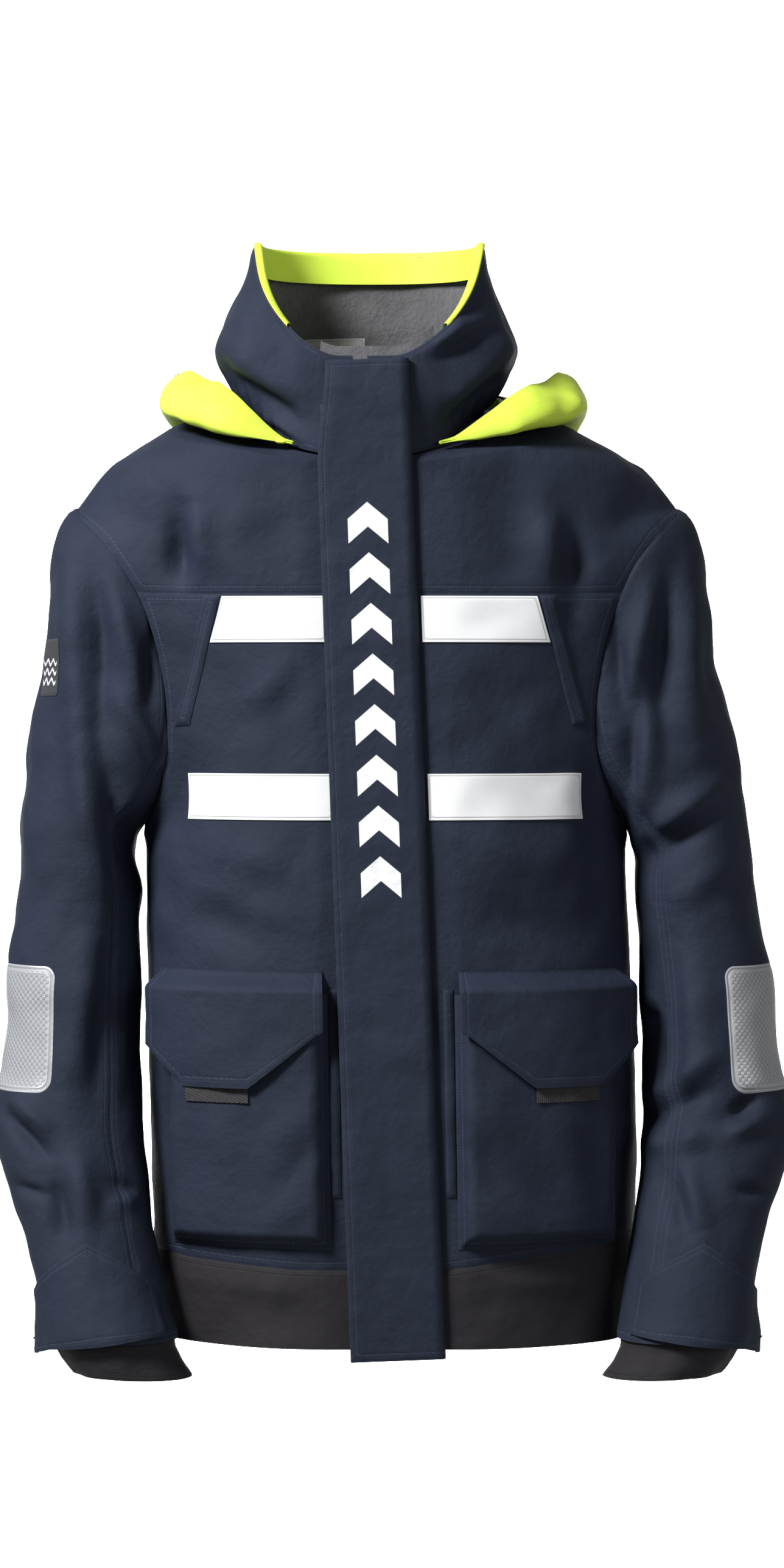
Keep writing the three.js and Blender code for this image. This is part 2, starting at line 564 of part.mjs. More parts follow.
// its sewn edge turns down to the front and ends in a bead
const edgeSection = [[HINGE_X - 3.9, -6.3], [HINGE_X - 3.9, faceOut], [HINGE_X + 2, -5],
  [HINGE_X + 2.5, -3.8], [HINGE_X + 2.4, -2.4], [HINGE_X + 1.4, -1], [HINGE_X, -0.6],
  [HINGE_X - 1.2, -1], [HINGE_X - 2.1, -2.6], [HINGE_X - 2.2, -5.1]];
add('flap_sewn_edge', bar(edgeSection, -8, ZIP_LENGTH - 4), NAVY, placket);
add('flap_hook_strip', box(-FW + 4, -FW + 21, -FLAP_STAND + GAP, -FLAP_STAND + 1.2, 20,
  ZIP_LENGTH - 40), CHARCOAL, placket);
add('flap_loop_strip', box(-FW + 4, -FW + 21, -1.2, -GAP, 20, ZIP_LENGTH - 40), CHARCOAL,
  placket);

// ---- zip ----
const TAPE_FROM = 16;
const TAPE_TO = ZIP_LENGTH - 10;
function tape(side) {
  const outline = [[1.2, 0.6], [4, 0.6], [4, WALL + GAP], [16, WALL + GAP],
    [16, WALL + 1.5], [1.2, WALL + 1.5]];
  const turned = outline.map(([x, y]) => [side * x, y]);
  return bar(side > 0 ? turned : turned.reverse(), TAPE_FROM, TAPE_TO);
}
add('zip_tape_left', tape(1), PLASTIC, placket);
add('zip_tape_right', tape(-1), PLASTIC, placket);
add('zip_box', box(-5.5, 5.5, 0.5, WALL + 1.5, 2, TAPE_FROM - GAP), PLASTIC, placket);

const SLIDER_Z = ZIP_LENGTH - 44;
const SLIDER_LENGTH = 17;
const PIN_Z = SLIDER_Z + 8;
const pinPart = (radius, y0, y1) => {
  const pin = new THREE.CylinderGeometry(radius, radius, y1 - y0, 20);
  pin.translate(0, (y0 + y1) / 2, PIN_Z);
  return toManifold(pin);
};
const sliderBody = toManifold(box(-5.2, 5.2, -2.4, 0.2, SLIDER_Z, SLIDER_Z + SLIDER_LENGTH))
  .add(toManifold(box(-0.8, 0.8, 0, WALL + 2.4, SLIDER_Z + 9, SLIDER_Z + SLIDER_LENGTH)))
  .add(toManifold(box(-5.2, 5.2, WALL + 1.9, WALL + 2.9, SLIDER_Z,
    SLIDER_Z + SLIDER_LENGTH)))
  .add(pinPart(1.5, -5.3, -2.2))
  .add(pinPart(2.8, -5.9, -5.2));
add('zip_slider', sliderBody, PLASTIC, placket);
const pullerShape = new THREE.Shape();
pullerShape.moveTo(-4, 3.6);
pullerShape.lineTo(-4, -6);
pullerShape.lineTo(-5, -12);
pullerShape.lineTo(-5, -32);
pullerShape.lineTo(-3.5, -34);
pullerShape.lineTo(3.5, -34);
pullerShape.lineTo(5, -32);
pullerShape.lineTo(5, -12);
pullerShape.lineTo(4, -6);
pullerShape.lineTo(4, 3.6);
const pullerEye = new THREE.Path();
pullerEye.absarc(0, 0, 2.1, 0, 2 * Math.PI, true);
pullerShape.holes.push(pullerEye);
const puller = new THREE.ExtrudeGeometry(pullerShape,
  { depth: 1.6, bevelEnabled: false, curveSegments: 8 });
puller.rotateX(Math.PI / 2);
puller.translate(0, -3, PIN_Z);
add('zip_puller', puller, PLASTIC, placket);

// fleece guard behind the top of the zip
const guardTurns = [-collarTurn(1), -collarTurn(0), ...[0, 1, 2, 3].map(collarTurn)];
const guardRises = [2, 3, 4, 5].map(collarRise).concat(1.09);
add('chin_guard', sheet(5, 4, (u, v, face) => collarPoint(guardTurns[Math.round(5 * u)],
  guardRises[Math.round(4 * v)], LINING_FACE - GAP - 2.4 * face)), FLEECE);

// ---- white bands, pocket welts and cargo pockets on the fronts ----
const flapEdge = (z, side) => {
  const middle = lerp(zipFoot.x, zipHead.x, (z - HEM_Z) / (COLLAR_FRONT_TOP - HEM_Z));
  return middle + side * (side > 0 ? FW + 4.5 : FW - 2.5);
};
function band(side, top, reach) {
  const strip = sheet(8, 2, (u, v, face) => {
    const z = -top - BAND_HEIGHT * v - 1.5;
    const far = swayAt(z) + side * polyline(reach, v);
    return frontPoint(lerp(flapEdge(z, side), far, u), z, face ? GAP : GAP + 1);
  });
  return toManifold(strip).subtract(sleeveFill).subtract(bodyFill);
}
const MIRROR = [['left', 1], ['right', -1]];
const upperReach = [[0, 0.59 * SHOULDER_HALF - 16], [1, 0.59 * SHOULDER_HALF - 6]];
const lowerReach = [[0, 0.8 * CHEST_HALF], [1, 0.81 * CHEST_HALF]];
for (const [word, side] of MIRROR) {
  add(`chest_band_upper_${word}`, band(side, BAND_UPPER_DROP, upperReach), WHITE);
  add(`chest_band_lower_${word}`, band(side, BAND_LOWER_DROP, lowerReach), WHITE);

  const welt = sheet(2, 6, (u, v, face) => {
    const z = -lerp(BAND_UPPER_DROP + 1, BAND_LOWER_DROP - 38, v);
    const x = swayAt(z) + side * (0.59 * SHOULDER_HALF - 14 + 26 * v + 13 * u);
    return frontPoint(x, z, face ? GAP : GAP + 1.8);
  });
  add(`chest_pocket_welt_${word}`, toManifold(welt).subtract(sleeveFill)
    .subtract(bodyFill), NAVY);

  const pocket = sheet(14, 9, (u, v, face) => {
    const across = lerp(POCKET_IN, POCKET_OUT, u);
    const z = -lerp(POCKET_BOTTOM_DROP, POCKET_TOP_DROP, v);
    const rise = Math.min(smooth(0, 14, across - POCKET_IN),
      smooth(0, 14, POCKET_OUT - across), smooth(0, 16, z + POCKET_BOTTOM_DROP));
    const off = GAP + POCKET_RAISE * rise + (face ? 0 : 2);
    return frontPoint(swayAt(z) + side * across, z, off);
  });
  add(`cargo_pocket_${word}`, pocket, NAVY);
  add(`pocket_side_welt_${word}`, sheet(1, 6, (u, v, face) => {
    const z = -lerp(POCKET_TOP_DROP - 4, POCKET_BOTTOM_DROP - 42, v);
    const x = swayAt(z) + side * (POCKET_IN - 1 - 8 * u);
    return frontPoint(x, z, face ? GAP : GAP + 1.6);
  }), NAVY);

  // flap with a five-sided foot, hinged along its top edge
  const FLAP_IN = POCKET_IN + 4;
  const FLAP_OUT = POCKET_OUT + 6;
  const foot = [[FLAP_IN, FLAP_FOOT_DROP - 47], [lerp(FLAP_IN, FLAP_OUT, 0.42), FLAP_FOOT_DROP],
    [lerp(FLAP_IN, FLAP_OUT, 0.8), FLAP_FOOT_DROP], [FLAP_OUT, FLAP_FOOT_DROP - 32]];
  const flapOff = (z) => 0.9 + (POCKET_RAISE + 3.6) * smooth(0, 18, -z - FLAP_ROOT_DROP);
  add(`pocket_flap_${word}`, sheet(12, 7, (u, v, face) => {
    const across = lerp(FLAP_IN, FLAP_OUT, u);
    const drop = lerp(FLAP_ROOT_DROP, polyline(foot, across), v ** 1.3);
    const x = swayAt(-drop) + side * across;
    return frontPoint(x, -drop, flapOff(-drop) + (face ? 0 : 2));
  }), NAVY);
  const under = POCKET_RAISE + 3.3;
  add(`flap_pull_${word}`, sheet(4, 2, (u, v, face) => {
    const z = -lerp(FLAP_FOOT_DROP - 13, FLAP_FOOT_DROP + 12, v);
    const across = lerp(FLAP_IN, FLAP_OUT, lerp(0.43, 0.79, u));
    return frontPoint(swayAt(z) + side * across, z, 0.9 + under - GAP - 1 * face);
  }), CHARCOAL);
  add(`flap_patch_${word}`, sheet(3, 2, (u, v, face) => {
    const z = -lerp(FLAP_FOOT_DROP - 47, FLAP_FOOT_DROP - 16, v);
    const across = lerp(FLAP_IN, FLAP_OUT, lerp(0.46, 0.76, u));
    return frontPoint(swayAt(z) + side * across, z, 0.9 + under - GAP - 0.9 * face);
  }), CHARCOAL);

  // ---- sleeve, cut at the elbow ----
  const tube = sleeveSolid(side, 0, 0).subtract(sleeveSolid(side, -WALL, 20))
    .subtract(bodyFill);
  const elbow = -ELBOW_DROP;
  add(`upper_sleeve_${word}`, tube.intersect(prism(layer(level(elbow + halfGap), level(400)),
    -400, 400)), NAVY);
  add(`forearm_${word}`, tube.intersect(prism(layer(level(-2000), level(elbow - halfGap)),
    -400, 400)), NAVY);
  const patch = sheet(4, 3, (u, v, face) => sleevePoint(side,
    lerp(0.14, 1.36, u), -lerp(ELBOW_DROP + 54, ELBOW_DROP + 158, v), face ? 0 : GAP + 1.5));
  const cleared = toManifold(patch).subtract(sleeveHole[side > 0 ? 1 : 0]);
  add(`sleeve_reflector_${word}`, cleared, SILVER);

  // inner cuff showing below the sleeve
  const cuffRing = (z, off, shift) => Array.from({ length: SLEEVE_SIDES }, (_, i) => {
    const alpha = (i + 0.5) / SLEEVE_SIDES * 2 * Math.PI;
    return sleevePoint(side, alpha, Math.max(z, -CUFF_DROP), off)
      .add(V(-side * shift, 0, Math.min(0, z + CUFF_DROP)));
  });
  const cuffSolid = (off, extra) => toManifold(loft([
    cuffRing(-CUFF_DROP + 30 + extra, off, 0),
    cuffRing(-CUFF_DROP + 4, off, 0),
    cuffRing(-CUFF_DROP - 6, off, 1),
    cuffRing(-CUFF_DROP - 18, off, 7),
    cuffRing(-CUFF_DROP - 30 - extra, off, 16 + 0.8 * extra),
  ]));
  add(`inner_cuff_${word}`, cuffSolid(-WALL - 1.2, 0).subtract(cuffSolid(-WALL - 3.4, 8)),
    CHARCOAL);

  // cuff tab with a peak, sewn on the inner front edge, its free end standing off
  const tabTop = [[-0.35, CUFF_DROP - 30], [0.35, CUFF_DROP - 42], [1.55, CUFF_DROP - 80],
    [2.55, CUFF_DROP - 46]];
  const tabFoot = [[-0.35, CUFF_DROP + 17], [0.5, CUFF_DROP + 7], [2.55, CUFF_DROP - 6]];
  add(`cuff_tab_${word}`, sheet(14, 4, (u, v, face) => {
    const alpha = lerp(2.55, -0.35, u);
    const drop = lerp(polyline(tabTop, alpha), polyline(tabFoot, alpha), v);
    const flare = 11 * smooth(0.35, -0.35, alpha) * smooth(0, 0.7, v);
    const stand = 0.8 + 1.4 * smooth(2.5, 2.1, alpha) + flare + (face ? 0 : 2);
    return sleevePoint(side, alpha, -Math.min(drop, CUFF_DROP), stand)
      .add(V(0, 0, -Math.max(0, drop - CUFF_DROP)));
  }), NAVY);
  add(`cuff_patch_${word}`, sheet(4, 1, (u, v, face) => sleevePoint(side,
    lerp(0.75, 1.5, u), -lerp(CUFF_DROP - 32, CUFF_DROP - 10, v),
    face ? 0.35 : 1.3)), CHARCOAL);
}
const badge = sheet(4, 3, (u, v, face) => sleevePoint(-1, lerp(0.3, 0.8, u),
  -lerp(183, 230, v), face ? GAP + 0.4 : GAP + 1.4));
add('sleeve_badge', toManifold(badge).subtract(sleeveHole[0]), CHARCOAL);

export default jacket;
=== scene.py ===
import math

import bmesh
import bpy
import numpy as np
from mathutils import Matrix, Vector, noise


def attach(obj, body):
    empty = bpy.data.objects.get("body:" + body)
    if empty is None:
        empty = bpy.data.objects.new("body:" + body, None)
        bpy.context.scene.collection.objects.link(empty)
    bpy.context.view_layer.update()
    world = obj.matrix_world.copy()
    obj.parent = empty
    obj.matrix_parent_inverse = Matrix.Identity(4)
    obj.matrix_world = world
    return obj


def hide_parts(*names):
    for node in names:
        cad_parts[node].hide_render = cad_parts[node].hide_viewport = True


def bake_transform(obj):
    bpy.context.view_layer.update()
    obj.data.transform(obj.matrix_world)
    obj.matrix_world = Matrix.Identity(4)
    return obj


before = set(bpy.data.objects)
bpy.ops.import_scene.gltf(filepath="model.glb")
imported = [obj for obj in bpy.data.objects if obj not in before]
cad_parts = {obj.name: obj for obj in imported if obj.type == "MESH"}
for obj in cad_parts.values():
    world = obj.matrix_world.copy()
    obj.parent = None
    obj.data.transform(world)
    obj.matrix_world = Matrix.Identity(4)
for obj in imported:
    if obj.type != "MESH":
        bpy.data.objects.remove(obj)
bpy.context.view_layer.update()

# ---- studio ----
# The jacket hangs in the air in its worn shape, before one sweep of white paper
# that comes down behind it and runs out under it. Soft boxes stand left and right, and
# two more light the paper.
scene = bpy.context.scene
camera_data = bpy.data.cameras.new("camera")
camera_data.lens = 108.6
camera_data.sensor_width = 36.0
camera_data.clip_end = 40.0
camera = bpy.data.objects.new("camera", camera_data)
camera.location = (0.0, -4.0, -0.2)
aim = Vector((0.0219, 0.0, -0.305)) - camera.location
camera.rotation_euler = aim.to_track_quat("-Z", "Y").to_euler()
scene.collection.objects.link(camera)
scene.camera = camera
scene.view_settings.view_transform = "Standard"


class Signal:
    """A value that varies over a surface; arithmetic on it adds Math nodes."""

    def __init__(self, finish, socket):
        self.finish = finish
        self.socket = socket

    def math(self, operation, *others):
        made = {i: value for i, value in enumerate((self, *others))}
        return self.finish.node("ShaderNodeMath", {"operation": operation}, made)

    def __add__(self, other):
        return self.math("ADD", other)

    def __radd__(self, other):
        return self.math("ADD", other)

    def __sub__(self, other):
        return self.math("SUBTRACT", other)

    def __rsub__(self, other):
        return (self * -1.0).math("ADD", other)

    def __mul__(self, other):
        return self.math("MULTIPLY", other)

    def __rmul__(self, other):
        return self.math("MULTIPLY", other)

    def __truediv__(self, other):
        return self.math("DIVIDE", other)

    def clamp(self):
        """Held between 0 and 1."""
        return self.math("MINIMUM", 1.0).math("MAXIMUM", 0.0)

    def band(self, middle, half, soft):
        """1 within half of middle, falling to 0 over soft."""
        off = (self - middle).math("ABSOLUTE")
        return ((half + soft - off) / soft).clamp()


class Finish:
    """One material, with the node-making method that every surface here uses."""

    def __init__(self, name, rough, **constants):
        self.material = bpy.data.materials.new(name)
        self.material.use_nodes = True
        self.tree = self.material.node_tree
        self.shader = self.tree.nodes["Principled BSDF"]
        self.shader.inputs["Roughness"].default_value = rough
        for key, value in constants.items():
            self.shader.inputs[key.replace("_", " ")].default_value = value

    def node(self, kind, settings, sockets, output=0):
        made = self.tree.nodes.new(kind)
        for key, value in settings.items():
            setattr(made, key, value)
        for key, value in sockets.items():
            if isinstance(value, Signal):
                self.tree.links.new(value.socket, made.inputs[key])
            else:
                made.inputs[key].default_value = value
        return Signal(self, made.outputs[output])

    def place(self):
        return self.node("ShaderNodeTexCoord", {}, {}, "Object")

    def cloth_uv(self):
        return self.node("ShaderNodeUVMap", {"uv_map": "cloth"}, {})

    def value_of(self, name):
        made = {"attribute_type": "GEOMETRY", "attribute_name": name}
        return self.node("ShaderNodeAttribute", made, {}, "Fac")

    def split(self, vector):
        x = self.node("ShaderNodeSeparateXYZ", {}, {0: vector}, 0)
        y = self.node("ShaderNodeSeparateXYZ", {}, {0: vector}, 1)
        z = self.node("ShaderNodeSeparateXYZ", {}, {0: vector}, 2)
        return x, y, z

    def speckle(self, where, scale, detail=3.0, rough=0.5):
        made = {"Vector": where, "Scale": scale, "Detail": detail, "Roughness": rough}
        return self.node("ShaderNodeTexNoise", {}, made)

    def blend(self, factor, low, high):
        """From colour low to colour high as factor goes from 0 to 1."""
        found = self.tree.nodes.new("ShaderNodeMix")
        found.data_type = "RGBA"
        for index, value in ((0, factor), (6, low), (7, high)):
            if isinstance(value, Signal):
                self.tree.links.new(value.socket, found.inputs[index])
            else:
                found.inputs[index].default_value = (*value, 1.0)
        return Signal(self, found.outputs[2])

    def feed(self, socket, signal):
        self.tree.links.new(signal.socket, self.shader.inputs[socket])

    def relief(self, height, depth, strength=1.0):
        made = {"Height": height, "Distance": depth, "Strength": strength}
        self.feed("Normal", self.node("ShaderNodeBump", {}, made))


def link(name, mesh):
    piece = bpy.data.objects.new(name, mesh)
    scene.collection.objects.link(piece)
    return piece


paper = Finish("white_paper", 0.9)
fleck = paper.speckle(paper.place(), 60.0)
paper.feed("Base Color", paper.blend(fleck, (0.86, 0.86, 0.86), (0.9, 0.9, 0.9)))
paper.relief(fleck, 0.0004)

SWEEP_FLOOR = -2.4
SWEEP_FRONT = -0.7
SWEEP_BACK = 9.6
SWEEP_BEND = 1.8
bm = bmesh.new()
profile = [bm.verts.new((-5.0, SWEEP_FRONT, SWEEP_FLOOR))]
for step in range(13):
    turn = math.radians(90 * step / 12)
    y = SWEEP_BACK - SWEEP_BEND + SWEEP_BEND * math.sin(turn)
    z = SWEEP_FLOOR + SWEEP_BEND - SWEEP_BEND * math.cos(turn)
    profile.append(bm.verts.new((-5.0, y, z)))
profile.append(bm.verts.new((-5.0, SWEEP_BACK, 4.5)))
edges = [bm.edges.new(pair) for pair in zip(profile, profile[1:])]
pulled = bmesh.ops.extrude_edge_only(bm, edges=edges)["geom"]
moved = [v for v in pulled if isinstance(v, bmesh.types.BMVert)]
bmesh.ops.translate(bm, verts=moved, vec=(10.0, 0.0, 0.0))
bmesh.ops.recalc_face_normals(bm, faces=bm.faces)
sweep_mesh = bpy.data.meshes.new("paper_sweep")
bm.to_mesh(sweep_mesh)
bm.free()
sweep_mesh.materials.append(paper.material)
sweep = link("paper_sweep", sweep_mesh)

for name, spot, aim_at, size, power in (
    ("soft_box_left", (-1.9, -1.6, 1.7), (0, 0, -0.3), 0.8, 205.0),
    ("soft_box_right", (2.9, -2.6, 0.6), (0, 0, -0.4), 1.6, 26.0),
    ("wall_light_left", (-2.2, 7.5, -0.2), (0.3, SWEEP_BACK, -0.8), 1.5, 460.0),
    ("wall_light_right", (2.2, 7.5, -0.2), (-0.3, SWEEP_BACK, -0.8), 1.5, 460.0),
):
    light_data = bpy.data.lights.new(name, "AREA")
    light_data.size = size
    light_data.energy = power
    light = bpy.data.objects.new(name, light_data)
    light.location = spot
    light.rotation_euler = (Vector(aim_at) - light.location).to_track_quat("-Z", "Y").to_euler()
    scene.collection.objects.link(light)
world = bpy.data.worlds.new("studio")
world.use_nodes = True
world.node_tree.nodes["Background"].inputs["Color"].default_value = (1.0, 1.0, 1.0, 1.0)
world.node_tree.nodes["Background"].inputs["Strength"].default_value = 0.22
scene.world = world

# ---- shell of the body: fronts, back, yokes and hem band ----
# Coated navy cloth cut in panels and sewn into a loose trunk, with a charcoal hem band.
# Each panel lies on the one body surface below, pulled into soft folds, and is cut
# back to its seams. All sizes in the tables are millimetres.
MM = 0.001
COLLAR_FRONT = 50.0
HEM = -764.0
FRONT_FOOT = -150.0
FRONT_LEAN = 44.0
FRONT_OUT = 3.0
SHOULDER_Z = -104.67
SHOULDER_HALF = 247.0
SHOULDER_SWAY = 10.0
SLEEVE_TOP_Z = -79.0
ZIP_FOOT = np.array((25.0, FRONT_FOOT, HEM))
ZIP_TOP_X = -5.0
ACROSS = np.array((0.99932, 0.00199, 0.03672))
INTO = np.array((0.0, 0.99854, -0.05398))
ALONG = np.array((-0.03678, 0.05394, 0.99787))
BODY_ROWS = np.array((
    # walked, height, half width, back, sway, squareness, tilt
    (0.0, -764.0, 200.0, 127.92, 26.0, 2.4, 0.0),
    (64.3, -699.82, 203.94, 132.6, 23.92, 2.4, 0.0),
    (164.4, -599.74, 206.0, 134.16, 22.1, 2.4, 0.0),
    (298.12, -466.04, 203.94, 138.06, 20.02, 2.4, 0.0),
    (414.25, -349.91, 202.95, 148.2, 16.12, 2.35, 0.0),
    (494.5, -269.69, 205.0, 156.0, 13.0, 2.3, 0.0),
    (555.16, -210.1, 216.34, 157.56, 12.0, 2.3, 0.0),
    (618.66, -149.74, 236.08, 151.32, 11.0, 2.3, 0.0),
    (665.04, -104.67, 247.0, 140.4, 10.0, 2.25, 0.0),
    (705.45, -64.94, 239.59, 126.36, 9.0, 2.2, 4.0),
    (747.16, -32.09, 213.9, 112.32, 7.0, 2.2, 16.0),
    (797.41, -6.88, 170.43, 99.84, 4.0, 2.2, 32.0),
))
NECK_WALK = BODY_ROWS[-1, 0]
COLLAR_ROWS = np.array((
    # height, half width, back, sway
    (-45.0, 87.5, 82.68, 0.0),
    (-3.0, 88.0, 87.36, 0.0),
    (26.0, 112.0, 95.16, 0.0),
    (56.0, 125.0, 99.84, 0.0),
    (80.0, 119.38, 99.84, 1.0),
    (126.0, 102.0, 93.6, 2.0),
    (155.0, 95.0, 88.92, 3.0),
))
SLEEVE_ROWS = np.array((
    # height, inner edge from the body, width, depth position, depth
    (-778.0, -24.0, 106.0, -113.0, 100.0),
    (-758.0, -20.0, 108.0, -111.0, 104.0),
    (-720.1, -13.0, 106.0, -97.0, 107.0),
    (-679.93, -7.0, 108.0, -84.0, 110.0),
    (-629.9, -2.0, 119.84, -66.0, 114.0),
    (-589.72, 3.0, 126.56, -52.0, 121.44),
    (-539.7, 5.0, 115.36, -38.0, 124.08),
    (-469.96, 6.0, 112.0, -24.0, 132.0),
    (-400.22, 5.0, 103.04, -14.0, 139.92),
    (-344.89, 4.0, 100.8, -10.0, 147.84),
    (-310.02, -24.0, 123.2, -8.0, 155.76),
    (-265.3, -52.0, 145.6, -6.0, 159.72),
    (-200.11, -67.0, 131.04, -1.0, 159.72),
    (-150.08, -76.0, 114.24, 2.0, 147.84),
    (-104.98, -69.0, 84.0, 4.0, 109.56),
    (-87.93, -54.0, 59.36, 5.0, 73.92),
    (-78.83, -44.0, 33.6, 5.0, 39.6),
))


def ramp(low, high, x):
    t = np.clip((x - low) / (high - low), 0.0, 1.0)
    return t * t * (3.0 - 2.0 * t)


def through(rows, key, column):
    """A smooth curve through one column of a table, read at key."""
    keys, values = rows[:, 0], rows[:, column]
    last = len(keys) - 1
    low = np.maximum(np.arange(last + 1) - 1, 0)
    high = np.minimum(np.arange(last + 1) + 1, last)
    slope = (values[high] - values[low]) / (keys[high] - keys[low])
    key = np.clip(key, keys[0], keys[last])
    i = np.clip(np.searchsorted(keys, key) - 1, 0, last - 1)
    h = keys[i + 1] - keys[i]
    t = (key - keys[i]) / h
    ends = values[i] * (1 + 2 * t) * (1 - t) ** 2 + values[i + 1] * t * t * (3 - 2 * t)
    return ends + slope[i] * h * t * (1 - t) ** 2 + slope[i + 1] * h * t * t * (t - 1)


def front_plane(z):
    return FRONT_FOOT + FRONT_LEAN * (z - HEM) / (COLLAR_FRONT - HEM)


def oval(phi, half, front, back, shift, square, z):
    depth = (back - front) / 2.0
    share = np.abs(np.sin(phi) / half) ** square + np.abs(np.cos(phi) / depth) ** square
    r = share ** (-1.0 / square)
    y = np.maximum((front + back) / 2.0 - r * np.cos(phi), front_plane(z))
    return np.stack((shift + r * np.sin(phi), y, z), 1)


def collar_seam(phi):
    return -3.0 - 32.0 * np.cos(phi) + 7.0 * np.sin(phi) ** 2


def collar_at(phi, v):
    away = np.abs(np.arctan2(np.sin(phi), np.cos(phi)))
    top = COLLAR_FRONT + 99.0 * ramp(0.2, 1.45, away)
    z = collar_seam(phi) + (top - collar_seam(phi)) * v
    half, back, sway = (through(COLLAR_ROWS, z, k) for k in (1, 2, 3))
    return oval(phi, half, front_plane(z) - FRONT_OUT, back, sway, 2.3, z)


def trunk_at(phi, s):
    """The body below the neck; phi is 0 in front, s is the distance walked up from the hem."""
    z, half, back, sway, square, tilt = (through(BODY_ROWS, s, k) for k in range(1, 7))
    front = front_plane(z - tilt) - FRONT_OUT
    return oval(phi, half, front, back, sway, square, z - tilt * np.cos(phi))


def body_at(phi, s):
    low = trunk_at(phi, np.minimum(s, NECK_WALK))
    share = np.clip((s - NECK_WALK) / 70.0, 0.0, 1.0)[:, None]
    return low + (collar_at(phi, np.zeros_like(phi)) - low) * share


WALK_TABLE = np.linspace(0.0, NECK_WALK, 1600)
HEIGHT_TABLE = through(BODY_ROWS, WALK_TABLE, 1)


def walk_of(z):
    return np.interp(z, HEIGHT_TABLE, WALK_TABLE)


def front_at(x, z):
    """The front of the body by width and height, as the pieces sewn on it need it."""
    s = walk_of(z)
    half, back, sway, square = (through(BODY_ROWS, s, k) for k in (2, 3, 4, 5))
    front = front_plane(z) - FRONT_OUT
    share = np.minimum(0.9995, (np.abs(x - sway) / half) ** square)
    y = (front + back) / 2.0 - (back - front) / 2.0 * (1.0 - share) ** (1.0 / square)
    return np.stack((x, np.maximum(y, front_plane(z)), z), 1)


def sway_of(z):
    return through(BODY_ROWS, walk_of(z), 4)


def sleeve_oval(side, z):
    s = walk_of(np.minimum(z, SHOULDER_Z))
    half = np.where(z < SHOULDER_Z, through(BODY_ROWS, s, 2), SHOULDER_HALF)
    sway = np.where(z < SHOULDER_Z, through(BODY_ROWS, s, 4), SHOULDER_SWAY)
    inner, width, y, depth = (through(SLEEVE_ROWS, z, k) for k in (1, 2, 3, 4))
    return sway + side * (half + inner + width / 2.0), y, width / 2.0, depth / 2.0


def clear_of_sleeve(side, p):
    x, y, half_w, half_d = sleeve_oval(side, p[:, 2])
    share = np.hypot((p[:, 0] - x) / half_w, (p[:, 1] - y) / half_d)
    return (share - 1.0) * np.minimum(half_w, half_d) + np.maximum(0.0, p[:, 2] - SLEEVE_TOP_Z)


def clear_of_body(p):
    s = walk_of(p[:, 2])
    half, back, sway, square = (through(BODY_ROWS, s, k) for k in (2, 3, 4, 5))
    front = front_plane(p[:, 2]) - FRONT_OUT
    depth = (back - front) / 2.0
    share = np.abs((p[:, 0] - sway) / half) ** square
    share = share + np.abs((p[:, 1] - (front + back) / 2.0) / depth) ** square
    return (share ** (1.0 / square) - 1.0) * depth


def steepest(clear, p):
    """The direction in which a clearance grows fastest, and the clearance itself."""
    here = clear(p)
    slope = np.stack([clear(p + step) - here for step in 0.5 * np.eye(3)], 1)
    return here, slope / np.maximum(np.linalg.norm(slope, axis=1), 1e-6)[:, None]


def bridge(p):
    """Where sleeve and body meet, the cloth rounds the hollow between them, mm."""
    reach = 46.0
    fades_from, fades_out = -330.0, -420.0
    depth_low, depth_more = 9.0, 6.0
    moved = np.zeros_like(p)
    for side in (1, -1):
        near = np.nonzero((side * p[:, 0] > 120.0) & (p[:, 2] > fades_out) & (p[:, 2] < -20.0))[0]
        if not len(near):
            continue
        q = p[near]
        low = np.column_stack((q[:, :2], np.minimum(q[:, 2], -80.0)))
        to_sleeve, out_sleeve = steepest(lambda r: clear_of_sleeve(side, r), low)
        to_body, out_body = steepest(clear_of_body, low)
        to_sleeve = to_sleeve + np.maximum(0.0, q[:, 2] + 80.0)
        out = out_sleeve + out_body
        out /= np.maximum(np.linalg.norm(out, axis=1), 0.3)[:, None]
        away = np.clip(np.maximum(np.abs(to_sleeve), np.abs(to_body)) / reach, 0.0, 1.0)
        deep = depth_low + depth_more * ramp(-170.0, -100.0, q[:, 2])
        fade = ramp(fades_out, fades_from, q[:, 2])
        moved[near] += out * (deep * (1.0 - away) ** 2 * fade)[:, None]
    return moved


def from_zip(p):
    """How far across the front a point lies from the zip line."""
    return (p - ZIP_FOOT) @ ACROSS


def grain(p, size, shift=0.0):
    """Soft uneven ground of about that size in mm, from -1 to 1."""
    spots = p / size + shift
    return np.array([noise.noise(Vector(spot)) for spot in spots])


def folds(a, b, strokes):
    """Ridges and hollows, each drawn from one place to another with a width and height."""
    total = np.zeros_like(a)
    for a0, b0, a1, b1, width, height in strokes:
        da, db = a1 - a0, b1 - b0
        t = np.clip(((a - a0) * da + (b - b0) * db) / (da * da + db * db), 0.0, 1.0)
        off = np.hypot(a - a0 - t * da, b - b0 - t * db) / width
        total += height * np.exp(-off * off) * (0.25 + 0.75 * np.sin(np.pi * t))
    return total


